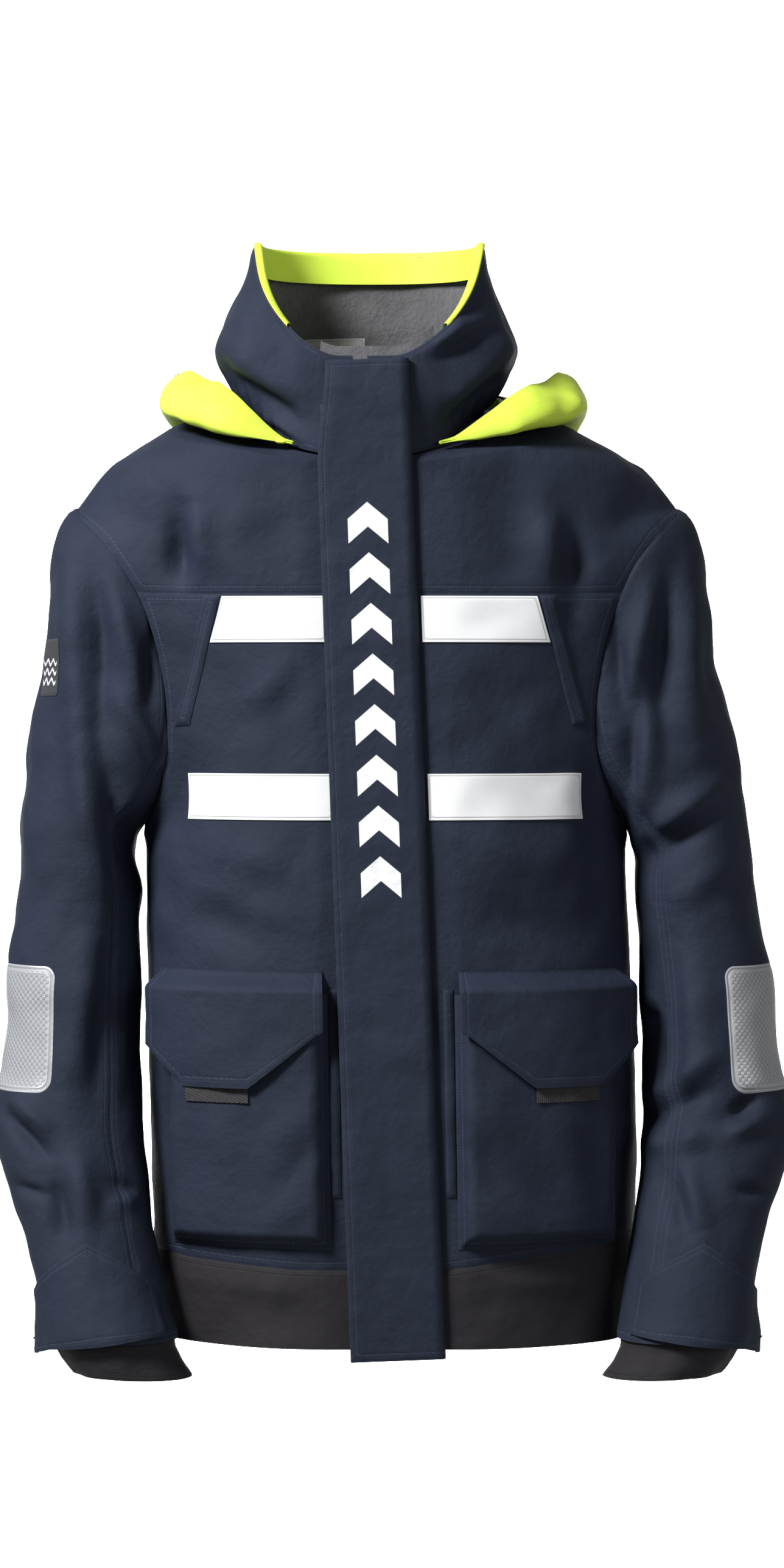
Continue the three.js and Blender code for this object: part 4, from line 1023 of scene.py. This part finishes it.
for word, side in (("left", 1), ("right", -1)):
    surface = sleeve_surface(side)
    for half_name, seams in (("top", TOP_SEAMS), ("under", UNDER_SEAMS)):
        upper = cut_panel(
            f"upper_sleeve_{half_name}_{word}", surface, (seams, (ELBOW_Z - 3.0, -79.5)), 3.0,
            sleeve_lift(side), (armhole_edge,), (navy, inner),
            da=0.01, db=1.0, turn=-side, borders="LR", flat_size="hung")
        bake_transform(upper)
        lower = cut_panel(
            f"forearm_{half_name}_{word}", surface, (seams, (CUFF_Z, ELBOW_Z)), 3.0,
            sleeve_lift(side), (), (navy, inner), da=0.01, db=1.0, turn=-side,
            borders="LRB", flat_size="hung")
        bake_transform(lower)
        if half_name == "top":
            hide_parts(f"upper_sleeve_{word}")
            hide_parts(f"forearm_{word}")

# ---- inner cuffs ----
# A soft charcoal cuff is sewn inside the end of each sleeve and turned in towards the
# wrist. It is one closed tube, so its two ends are joined.
def cuff_surface(side):
    surface = sleeve_surface(side)

    def cuff_at(turn, z):
        p = surface(turn, np.maximum(z, CUFF_Z))
        aside = np.interp(-z, (754, 764, 776, 788), (0.0, 1.0, 7.0, 16.0))
        down = np.minimum(0.0, z - CUFF_Z)
        return p + np.stack((-side * aside, np.zeros_like(z), down), 1)
    return cuff_at


for word, side in (("left", 1), ("right", -1)):
    cuff = cut_panel(
        f"inner_cuff_cloth_{word}", cuff_surface(side),
        ((4.0, 4.0 + 2 * math.pi), (-788.0, -730.0)), 2.4,
        lambda p, a, b, inside: -4.4 + 1.1 * grain(p, 24.0) - 0.7 * np.exp(
            -(inside / 2.0) ** 2) + 0.5 * np.sin(9.0 * a),
        (), (charcoal, inner), da=0.01, db=1.0, turn=-side, closed=True, borders="B",
        thick=2.0, flat_size="gathered")
    sew_on(cuff, f"forearm_{word}", "charcoal_trim", f"inner_cuff_{word}")

# ---- cuff tabs ----
# A peaked tab of navy cloth wraps the cuff and stands off at its free end, where a
# hook patch holds it. It is sewn down along the inner front of the sleeve.
TAB_TOP = np.array(((-0.35, 728), (0.35, 716), (1.55, 678), (2.55, 712)), float)
TAB_FOOT = np.array(((-0.35, 775), (0.5, 765), (2.55, 752)), float)
hook_tape = Finish("hook_tape", 0.85)
spot = hook_tape.place()
hooks = hook_tape.speckle(spot, 900.0, 2.0)
ground = hook_tape.speckle(spot, 60.0)
hook_tape.feed("Base Color", hook_tape.blend(hooks * 0.7 + ground * 0.3, (0.008, 0.008, 0.009),
                                             (0.06, 0.06, 0.064)))
hook_tape.feed("Roughness", 0.75 + hooks * 0.2)
hook_tape.relief(hooks, 0.001)


def tab_surface(side):
    surface = sleeve_surface(side)

    def tab_at(turn, v):
        top = np.interp(turn, TAB_TOP[:, 0], TAB_TOP[:, 1])
        foot = np.interp(turn, TAB_FOOT[:, 0], TAB_FOOT[:, 1])
        drop = top + (foot - top) * v
        p = surface(turn, -np.minimum(drop, -CUFF_Z))
        p[:, 2] -= np.maximum(0.0, drop + CUFF_Z)
        return p
    return tab_at


def tab_lift(side):
    def lifted(p, a, b, inside):
        flare = 11.0 * ramp(0.35, -0.35, a) * ramp(0.0, 0.7, b)
        stand = 2.6 + 1.4 * ramp(2.5, 2.1, a) + flare
        ease = 0.5 * sleeve_folds(side, p) * ramp(0.0, 0.4, 1.0 - b)
        return stand + np.clip(ease, -0.4, 2.5) + 0.5 * grain(p, 22.0) - 0.5 * np.exp(
            -(inside / 2.0) ** 2)
    return lifted


for word, side in (("left", 1), ("right", -1)):
    tab = cut_panel(f"cuff_tab_cloth_{word}", tab_surface(side), ((-0.35, 2.55), (0.0, 1.0)),
                    2.0, tab_lift(side), (), (navy, inner), da=0.01, db=0.02, turn=side,
                    borders="LRBT", thick=1.8, flat_size="folded")
    sew_on(tab, f"cuff_tab_{word}", "navy_shell", f"cuff_tab_{word}")
    patch = cut_panel(f"cuff_hook_patch_{word}", sleeve_surface(side),
                      ((0.75, 1.5), (-748.0, -726.0)), 2.0,
                      lambda p, a, b, inside: np.full(len(p), 1.3), (), (hook_tape,),
                      da=0.01, db=1.0, turn=-side, thick=0.9, borders="LRBT")
    sew_on(patch, f"forearm_{word}", "charcoal_trim", f"cuff_patch_{word}")

# ---- sleeve reflectors and badge ----
# A silver reflective patch with rounded corners is sewn on the outer front of each
# forearm, and a small dark badge with waves on the right upper arm.
reflective = Finish("reflective_tape", 0.32, Metallic=0.25)
along, rise, _ = reflective.split(reflective.cloth_uv())
edge = reflective.value_of("edge")
rings = (along * 1150.0).math("SINE") * (rise * 1150.0).math("SINE")
lattice = (rings * 2.4 + 0.4).clamp()
border = (edge - 5.0).clamp()
film = reflective.speckle(reflective.place(), 40.0, 5.0)
silver = reflective.blend(lattice * border * 0.6 + film * 0.3, (0.4, 0.41, 0.43),
                          (0.24, 0.25, 0.27))
reflective.feed("Base Color", reflective.blend(edge.band(2.6, 0.3, 0.4) * 0.7, silver,
                                               (0.2, 0.2, 0.21)))
reflective.feed("Roughness", 0.28 + film * 0.2 + lattice * 0.1)
reflective.relief(lattice * border + film * 1.6 - edge.band(2.6, 0.5, 0.8), 0.0005)


def rounded(side, turns, heights, corner, arm):
    """How far inside a rounded oblong on the sleeve a point lies."""
    def inside_of(p):
        across = (sleeve_turn(side, p) - sum(turns) / 2.0) * arm
        up = p[:, 2] - sum(heights) / 2.0
        off_x = np.abs(across) - abs(turns[1] - turns[0]) / 2.0 * arm + corner
        off_z = np.abs(up) - abs(heights[1] - heights[0]) / 2.0 + corner
        past = np.hypot(np.maximum(off_x, 0.0), np.maximum(off_z, 0.0))
        return corner - past - np.minimum(np.maximum(off_x, off_z), 0.0)
    return inside_of


for word, side in (("left", 1), ("right", -1)):
    lift = sleeve_lift(side)
    patch = cut_panel(
        f"sleeve_reflector_patch_{word}", sleeve_surface(side), ((0.1, 1.4), (-562.0, -450.0)),
        1.8, lambda p, a, b, inside, lift=lift: lift(p, a, b, np.full(len(p), 60.0)) + 0.4
        + 0.7 * ramp(0.0, 2.0, inside),
        (rounded(side, (0.14, 1.36), (-558.0, -454.0), 11.0, 60.0),), (reflective,),
        da=0.01, db=1.0, turn=-side, thick=0.9)
    sew_on(patch, f"forearm_{word}", "silver_reflective", f"sleeve_reflector_{word}")

badge_cloth = Finish("badge_rubber", 0.55)
along, rise, _ = badge_cloth.split(badge_cloth.cloth_uv())
wave = (rise * 1000.0 - (along * 520.0).math("SINE") * 2.2)
stripes = wave.band(14.0, 1.1, 0.5) + wave.band(22.0, 1.1, 0.5) + wave.band(30.0, 1.1, 0.5)
edge = badge_cloth.value_of("edge")
fuzz = badge_cloth.speckle(badge_cloth.place(), 300.0)
mark = stripes * (edge - 3.0).clamp()
dark = badge_cloth.blend(fuzz, (0.02, 0.022, 0.028), (0.04, 0.042, 0.05))
badge_cloth.feed("Base Color", badge_cloth.blend(mark, dark, (0.62, 0.64, 0.66)))
badge_cloth.feed("Roughness", 0.5 + fuzz * 0.15)
badge_cloth.relief(mark + fuzz * 0.3, 0.0005)
arm_lift = sleeve_lift(-1)
badge = cut_panel(
    "sleeve_badge_patch", sleeve_surface(-1), ((0.28, 0.82), (-232.0, -181.0)), 1.4,
    lambda p, a, b, inside: arm_lift(p, a, b, np.full(len(p), 60.0)) + 0.5
    + 0.8 * ramp(0.0, 1.5, inside),
    (rounded(-1, (0.3, 0.8), (-230.0, -183.0), 3.0, 72.0),), (badge_cloth,), da=0.01, db=1.0,
    thick=0.9)
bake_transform(badge)
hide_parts("sleeve_badge")

# ---- white bands and slanted pocket welts on the chest ----
# Two white tapes run across each front, and a narrow navy welt covers the mouth of
# each slanted hand pocket. All are stitched flat to the front panels.
white_tape = Finish("white_tape", 0.45)
along, rise, _ = white_tape.split(white_tape.cloth_uv())
threads = (along * 4800.0).math("SINE") * (rise * 4800.0).math("SINE")
film = white_tape.speckle(white_tape.place(), 60.0)
rows = white_tape.value_of("edge").band(2.0, 0.3, 0.4)
shade = rows * 0.7 + (1.0 - film) * 0.25
white_tape.feed("Base Color", white_tape.blend(shade, (0.84, 0.845, 0.86), (0.55, 0.56, 0.58)))
white_tape.feed("Roughness", 0.4 + film * 0.15)
white_tape.relief(threads * 0.2 + film * 0.5 - rows * 0.8, 0.0005)


def front_room(side, p):
    """How far inside the seams of the front panel a point lies."""
    rooms = [cut(p) for cut in (zip_side(side), above(BAND_FRONT, SEAM), under(YOKE_Z - SEAM))]
    return np.maximum(np.minimum.reduce(rooms), 0.0)


def on_front(side, stand):
    """Lies on the folds of the front panel, that far off it."""
    def lifted(p, a, b, inside):
        off = stand(a, b, inside) if callable(stand) else stand
        return trunk_lift(p, a, b, front_room(side, p)) + off - 0.3 * np.exp(-(inside / 1.2) ** 2)
    return lifted


def zip_x(z):
    return ZIP_FOOT[0] + (ZIP_TOP_X - ZIP_FOOT[0]) * (z - HEM) / (COLLAR_FRONT - HEM)


def band_surface(side, far):
    def band_at(u, z):
        near = zip_x(z) + side * (42.5 if side > 0 else 35.5)
        return front_at(near + (sway_of(z) + side * far(z) - near) * u, z)
    return band_at


def welt_surface(side):
    def welt_at(u, v):
        z = -147.0 - 107.0 * v
        return front_at(sway_of(z) + side * (131.73 + 26.0 * v + 13.0 * u), z)
    return welt_at


for word, side in (("left", 1), ("right", -1)):
    for level, top, far in (
            ("upper", -147.5, lambda z: 129.73 - (z + 147.5) / 3.8),
            ("lower", -293.5, lambda z: 164.0 - (z + 293.5) / 18.5)):
        band = cut_panel(
            f"chest_band_{level}_{word}_tape", band_surface(side, far),
            ((0.0, 1.0), (top - 38.0, top)), 2.2, on_front(side, 1.4), (armhole(side),),
            (white_tape,), da=0.01, db=1.0, turn=side, thick=0.9, borders="LRBT",
            flat_size="hung")
        sew_on(band, "jacket", "white_print", f"chest_band_{level}_{word}")
    welt = cut_panel(
        f"chest_welt_cloth_{word}", welt_surface(side), ((0.0, 1.0), (0.0, 1.0)), 2.0,
        on_front(side, lambda a, b, inside: 1.0 + 1.2 * ramp(0.0, 3.0, inside)),
        (armhole(side),), (navy,), da=0.05, db=0.02, turn=-side, thick=1.4, borders="LRBT",
        flat_size="folded")
    sew_on(welt, "jacket", "navy_shell", f"chest_pocket_welt_{word}")

# ---- cargo pockets ----
# A raised patch pocket on each front, with its walls sewn down at both sides and the
# foot. A welt runs down its inner side, over a second mouth for the hand.
POCKET_TOP = -474.0
POCKET_FOOT = -682.0
POCKET_IN = 52.0
POCKET_OUT = 182.0
POCKET_DEEP = 13.2
POCKET_FOLDS = (
    # from across, z to across, z, width, height
    (62, -560, 96, -600, 14, 2.4),
    (60, -590, 92, -636, 10, -2.6),
    (66, -640, 110, -668, 12, 2.2),
    (110, -570, 120, -660, 22, -2.2),
    (128, -560, 140, -650, 16, 2.2),
    (150, -580, 168, -650, 14, -2.6),
    (170, -560, 176, -640, 9, 2.0),
    (84, -500, 160, -512, 22, 1.6),
)


def across_surface(side):
    """The front by distance from its centre line and height."""
    def across_at(across, z):
        return front_at(sway_of(z) + side * across, z)
    return across_at


def pocket_lift(side):
    def lifted(p, a, b, inside):
        wall = np.minimum(ramp(0.0, 11.0, a - POCKET_IN), ramp(0.0, 11.0, POCKET_OUT - a))
        wall = np.minimum(wall, ramp(0.0, 12.0, b - POCKET_FOOT))
        soft = folds(a, b, POCKET_FOLDS) + 1.4 * grain(p, 40.0, side * 3.0)
        soft += 1.2 * np.sin(b * 0.21 + 2.0 * np.sin(b * 0.043)) * ramp(12.0, 0.0, np.minimum(
            a - POCKET_IN, POCKET_OUT - a))
        bevel = ramp(11.0, 13.5, np.minimum(np.minimum(a - POCKET_IN, POCKET_OUT - a),
                                            b - POCKET_FOOT))
        calm = ramp(0.0, 0.9, wall)
        return (1.2 + POCKET_DEEP * wall + soft * calm + 0.8 * bevel * wall
                + 0.3 * trunk_lift(p, a, b, front_room(side, p)) * (1 - calm))
    return lifted


def side_welt_surface(side):
    def welt_at(u, v):
        z = -470.0 - 170.0 * v
        return front_at(sway_of(z) + side * (POCKET_IN - 1.0 - 8.0 * u), z)
    return welt_at


for word, side in (("left", 1), ("right", -1)):
    pocket = cut_panel(
        f"cargo_pocket_cloth_{word}", across_surface(side),
        ((POCKET_IN, POCKET_OUT), (POCKET_FOOT, POCKET_TOP)), 1.8, pocket_lift(side),
        (), (navy, inner), da=0.6, db=1.5, turn=side, borders="LRB", flat_size="folded")
    sew_on(pocket, "jacket", "navy_shell", f"cargo_pocket_{word}")
    side_welt = cut_panel(
        f"pocket_side_welt_cloth_{word}", side_welt_surface(side), ((0.0, 1.0), (0.0, 1.0)),
        1.8, on_front(side, lambda a, b, inside: 1.0 + 0.9 * ramp(0.0, 2.5, inside)), (),
        (navy,), da=0.05, db=0.02, turn=side, thick=1.4, borders="LRBT")
    sew_on(side_welt, "jacket", "navy_shell", f"pocket_side_welt_{word}")

# ---- pocket flaps, their pulls and patches ----
# A five-sided navy flap, sewn along its top edge, closes each pocket. Behind its foot it
# carries a hook patch and a charcoal webbing pull whose end shows below the edge.
FLAP_ROOT = 455.0
FLAP_SPAN = (56.0, 188.0)
FLAP_STAND = 17.2
UNDER_FLAP = 16.9
FLAP_FOOT = np.array(((56.0, 504.0), (111.44, 551.0), (161.6, 551.0), (188.0, 519.0)))


def flap_surface(side):
    def flap_at(across, v):
        foot = np.interp(across, FLAP_FOOT[:, 0], FLAP_FOOT[:, 1])
        drop = FLAP_ROOT + (foot - FLAP_ROOT) * np.clip(v, 0.0, 1.2) ** 1.3
        return front_at(sway_of(-drop) + side * across, -drop)
    return flap_at


def flap_lift(side):
    def lifted(p, a, b, inside):
        off = 2.9 + FLAP_STAND * ramp(0.0, 18.0, -p[:, 2] - FLAP_ROOT)
        soft = 1.3 * grain(p, 40.0, side * 6.0) + 0.6 * grain(p, 18.0)
        soft += 1.8 * np.exp(-((a - 122.0 - 12.0 * b) / 26.0) ** 2) * ramp(0.2, 0.7, b)
        curl = 1.6 * ramp(0.75, 1.0, b) * np.sin((a - 56.0) * 0.055 + side)
        return off + (soft + curl) * ramp(0.05, 0.3, b) - 0.5 * np.exp(-(inside / 1.6) ** 2)
    return lifted


webbing = Finish("pull_webbing", 0.6)
along, rise, _ = webbing.split(webbing.cloth_uv())
ribs = (along * 3600.0).math("SINE") * 0.5 + (rise * 5200.0 + along * 1500.0).math("SINE") * 0.5
worn = webbing.speckle(webbing.place(), 200.0)
webbing.feed("Base Color", webbing.blend(worn * 0.7 + ribs * 0.2, (0.02, 0.018, 0.021),
                                         (0.085, 0.08, 0.085)))
webbing.feed("Roughness", 0.55 + worn * 0.2)
webbing.relief(ribs, 0.0008)

for word, side in (("left", 1), ("right", -1)):
    cover = cut_panel(
        f"pocket_flap_cloth_{word}", flap_surface(side), (FLAP_SPAN, (0.0, 1.0)), 1.7,
        flap_lift(side), (), (navy, inner), da=0.6, db=0.02, turn=-side, borders="LRT",
        flat_size="hung")
    sew_on(cover, f"pocket_flap_{word}", "navy_shell", f"pocket_flap_{word}")
    for label, node, span, finish in (
            ("pull_webbing", "flap_pull", ((112.8, 160.3), (-563.0, -538.0)), webbing),
            ("hook_patch", "flap_patch", ((116.8, 156.3), (-535.0, -504.0)), hook_tape)):
        under_flap = cut_panel(
            f"flap_{label}_{word}", across_surface(side), span, 1.8,
            lambda p, a, b, inside: UNDER_FLAP + 0.5 * grain(p, 14.0), (), (finish,),
            da=0.6, db=1.0, turn=side, borders="LRBT", thick=1.0)
        sew_on(under_flap, f"pocket_flap_{word}", "charcoal_trim", f"{node}_{word}")

# ---- storm flap ----
# A doubled strip of navy cloth covers the whole zip. It is sewn down the left front,
# turns over its bead, and closes by a hook strip; white chevrons are printed on it.
FLAP_EDGE_X = -38.0
FLAP_LOW = -8.0
FLAP_HIGH = 811.74
FLAP_PATH = np.array((
    # across, off the front
    (33.0, 9.0), (35.0, 8.2), (37.2, 6.9), (39.4, 5.0), (39.9, 3.8), (39.8, 2.4),
    (38.8, 1.0), (37.6, 0.7),
))


def placket_at(x, z):
    return ZIP_FOOT + x[:, None] * ACROSS + z[:, None] * ALONG


def storm_at(x, z):
    """Flat across the zip, then turning down over its sewn bead as x runs past 33."""
    k = np.clip(x - 33.0, 0.0, 14.0) / 2.0
    over_x = np.interp(k, np.arange(8), FLAP_PATH[:, 0])
    down = np.interp(k, np.arange(8), 9.0 - FLAP_PATH[:, 1])
    spot = placket_at(np.where(x > 33.0, over_x, x), z)
    return spot + INTO * (down - 9.0)[:, None]


FLAP_WAVES = (
    # from x, z to x, z, width, height
    (-30, 806, 20, 770, 10, 1.8),
    (-20, 740, 22, 716, 12, -1.4),
    (-34, 660, -8, 640, 12, 1.3),
    (0, 590, 30, 570, 12, 1.3),
    (-34, 520, -6, 505, 12, -1.2),
    (-20, 420, 26, 400, 14, 1.2),
    (-32, 330, 0, 300, 14, -1.2),
    (-12, 250, 28, 235, 12, 1.3),
    (-34, 180, -10, 130, 12, 1.5),
    (-8, 96, 26, 70, 12, -1.3),
)


def storm_lift(p, a, b, inside):
    wave = 1.4 * folds(a, b, FLAP_WAVES) + 0.7 * grain(p, 38.0) + 0.4 * grain(p, 16.0)
    wave = np.maximum(wave, -0.2)
    calm = ramp(37.0, 31.0, a)
    return wave * calm - 0.9 * np.exp(-(inside / 2.2) ** 2) * ramp(37.0, 33.0, a)


def slanted_edge(p):
    x = from_zip(p)
    z = (p - ZIP_FOOT) @ ALONG
    return x - FLAP_EDGE_X - 9.0 * ramp(FLAP_HIGH - 90.0, FLAP_HIGH, z)


printed = cloth_finish("printed_storm_cloth", NAVY_DEEP, NAVY_LIT, 0.68, 0.9, NAVY_WORN,
                       NAVY_STITCH)
x, y, z = printed.split(printed.place())
u = ((x + (z + 0.05) * 0.0368) * (1.0 / 0.0165)).math("ABSOLUTE")
step = (z + 0.06) * (-1.0 / 0.0414) - u * 0.34
bar = (step + 10.0).math("FRACT").band(0.5, 0.235, 0.015)
wide = ((1.0 - u) * 60.0).clamp()
low = ((8.0 - step) * 60.0).clamp()
high = (step * 60.0).clamp()
front_only = ((-0.05 - y) * 200.0).clamp()
chevrons = bar * wide * low * high * front_only
ink = printed.speckle(printed.place(), 500.0)
cloth_colour = Signal(printed, printed.shader.inputs["Base Color"].links[0].from_socket)
white_ink = printed.blend(ink, (0.74, 0.75, 0.77), (0.86, 0.865, 0.88))
printed.feed("Base Color", printed.blend(chevrons, cloth_colour, white_ink))

storm = cut_panel(
    "storm_flap_cloth", storm_at, ((FLAP_EDGE_X, 46.9), (FLAP_LOW, FLAP_HIGH)), 2.0,
    storm_lift, (slanted_edge,), (printed, navy), da=0.4, db=1.0, borders="LBT",
    thick=2.2, flat_size="hung")
sew_on(storm, "storm_flap", "navy_shell", "storm_flap", "flap_sewn_edge")
for label, node, stand, body in (("hook", "flap_hook_strip", 6.2, "storm_flap"),
                                 ("loop", "flap_loop_strip", 1.2, "jacket")):
    strip = cut_panel(
        f"flap_{label}_tape", placket_at, ((-34.0, -17.0), (20.0, 775.7)), 2.4,
        lambda p, a, b, inside, stand=stand: stand + 0.1 * grain(p, 12.0), (), (hook_tape,),
        da=0.4, db=1.0, borders="LRBT", thick=0.9)
    sew_on(strip, body, "charcoal_trim", node)

# ---- zip ----
# A heavy black moulded zip: a tape sewn behind each front edge carries a row of
# chunky teeth. Its box, slider and puller keep their shapes and take the plastic.
plastic = Finish("black_moulded_plastic", 0.38)
grit = plastic.speckle(plastic.place(), 700.0, 2.0)
cloudy = plastic.speckle(plastic.place(), 60.0)
plastic.feed("Base Color", plastic.blend(cloudy, (0.008, 0.008, 0.01), (0.022, 0.022, 0.026)))
plastic.feed("Roughness", 0.3 + cloudy * 0.15 + grit * 0.1)
plastic.relief(grit, 0.0002)
TEETH_FROM = 18.0
TEETH_LENGTH = 786.0
TOOTH_PITCH = 3.6
TOOTH_OUT = 1.9
TOOTH_WIDE = 4.6
TOOTH_DEEP = 3.4
TOOTH_HEAD = 1.15
TOOTH_FOOT = 1.7


def tape_surface(side):
    """Out from the teeth and down over the edge of the front panel."""
    def tape_at(u, z):
        x = np.interp(u, (0.0, 0.2, 0.3, 1.0), (1.6, 4.0, 5.2, 15.6))
        down = np.interp(u, (0.0, 0.2, 0.3, 1.0), (1.2, 1.2, 2.9, 2.9))
        return placket_at(side * x, z) + INTO * down[:, None]
    return tape_at


for word, side in (("left", 1), ("right", -1)):
    tape = cut_panel(
        f"zip_tape_cloth_{word}", tape_surface(side), ((0.0, 1.0), (16.0, 805.7)), 2.6,
        lambda p, a, b, inside: np.full(len(p), 0.2), (), (charcoal,), da=0.02, db=1.0,
        turn=side, thick=1.1)
    bm = bmesh.new()
    bm.from_mesh(tape.data)
    for index in range(int(TEETH_LENGTH / TOOTH_PITCH)):
        height = TEETH_FROM + TOOTH_PITCH * index + (TOOTH_PITCH / 2.0 if side > 0 else 0.0)
        cube = bmesh.ops.create_cube(bm, size=1.0)["verts"]
        faces = {face for v in cube for face in v.link_faces}
        for face in faces:
            face.material_index = 1
        for v in cube:
            x = side * (TOOTH_OUT + TOOTH_WIDE * v.co.x)
            tall = TOOTH_HEAD if side * (x - side * TOOTH_OUT) < 0 else TOOTH_FOOT
            spot = ZIP_FOOT + x * ACROSS + (TOOTH_OUT + TOOTH_DEEP * v.co.y) * INTO
            v.co = (spot + (height + tall * v.co.z) * ALONG) * MM
    bmesh.ops.recalc_face_normals(bm, faces=[face for face in bm.faces
                                             if face.material_index == 1])
    bm.to_mesh(tape.data)
    bm.free()
    tape.data.materials.append(plastic.material)
    sew_on(tape, "jacket", "zip_plastic", f"zip_tape_{word}")

for node in ("zip_box", "zip_slider", "zip_puller"):
    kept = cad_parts[node]
    kept.data.materials.clear()
    kept.data.materials.append(plastic.material)

# ---- neck label and hanging loop ----
# A white woven label is sewn to the fleece inside the back of the neck, and a flat
# charcoal tape over it makes the loop that the jacket is hung by.
label_cloth = Finish("label_satin", 0.4)
along, rise, _ = label_cloth.split(label_cloth.cloth_uv())
ribs = (along * 9000.0).math("SINE") * 0.5 + (rise * 9000.0).math("SINE") * 0.5
edge = label_cloth.value_of("edge")
bars = (rise * 1000.0).band(26.0, 1.2, 0.4) * (edge - 12.0).clamp()
label_cloth.feed("Base Color", label_cloth.blend(
    (bars + edge.band(2.0, 0.3, 0.4) * 0.4).math("MINIMUM", 1.0), (0.62, 0.62, 0.63),
    (0.08, 0.1, 0.14)))
label_cloth.feed("Roughness", 0.36 + ribs * 0.05)
label_cloth.relief(ribs, 0.0003)
label = cut_panel("neck_label_cloth", collar_at, ((3.16, 3.82), (0.218, 0.408)), 2.0,
                  lambda p, a, b, inside: np.full(len(p), -6.4), (), (label_cloth,), db=0.02,
                  thick=0.6, borders="LRBT", flat_size="folded")
sew_on(label, "jacket", "white_print", "neck_label")

LOOP_PATH = np.array((
    # x, how far back
    (-31.0, 87.2), (-27.0, 88.0), (-22.0, 88.2), (-19.0, 84.6), (-16.0, 81.4), (-8.0, 80.6),
    (0.0, 80.4), (8.0, 80.6), (16.0, 81.4), (19.0, 84.6), (22.0, 88.2), (27.0, 88.0),
    (31.0, 87.2),
))


def loop_at(u, z):
    k = u * (len(LOOP_PATH) - 1)
    x = np.interp(k, np.arange(len(LOOP_PATH)), LOOP_PATH[:, 0])
    y = np.interp(k, np.arange(len(LOOP_PATH)), LOOP_PATH[:, 1])
    return np.stack((x, y, z), 1)


loop = cut_panel("hanging_loop_tape", loop_at, ((0.0, 1.0), (41.6, 49.3)), 1.2,
                 lambda p, a, b, inside: np.full(len(p), 0.1), (), (webbing,), da=0.02,
                 db=0.5, thick=1.2, borders="BT")
sew_on(loop, "jacket", "charcoal_trim", "hang_loop")
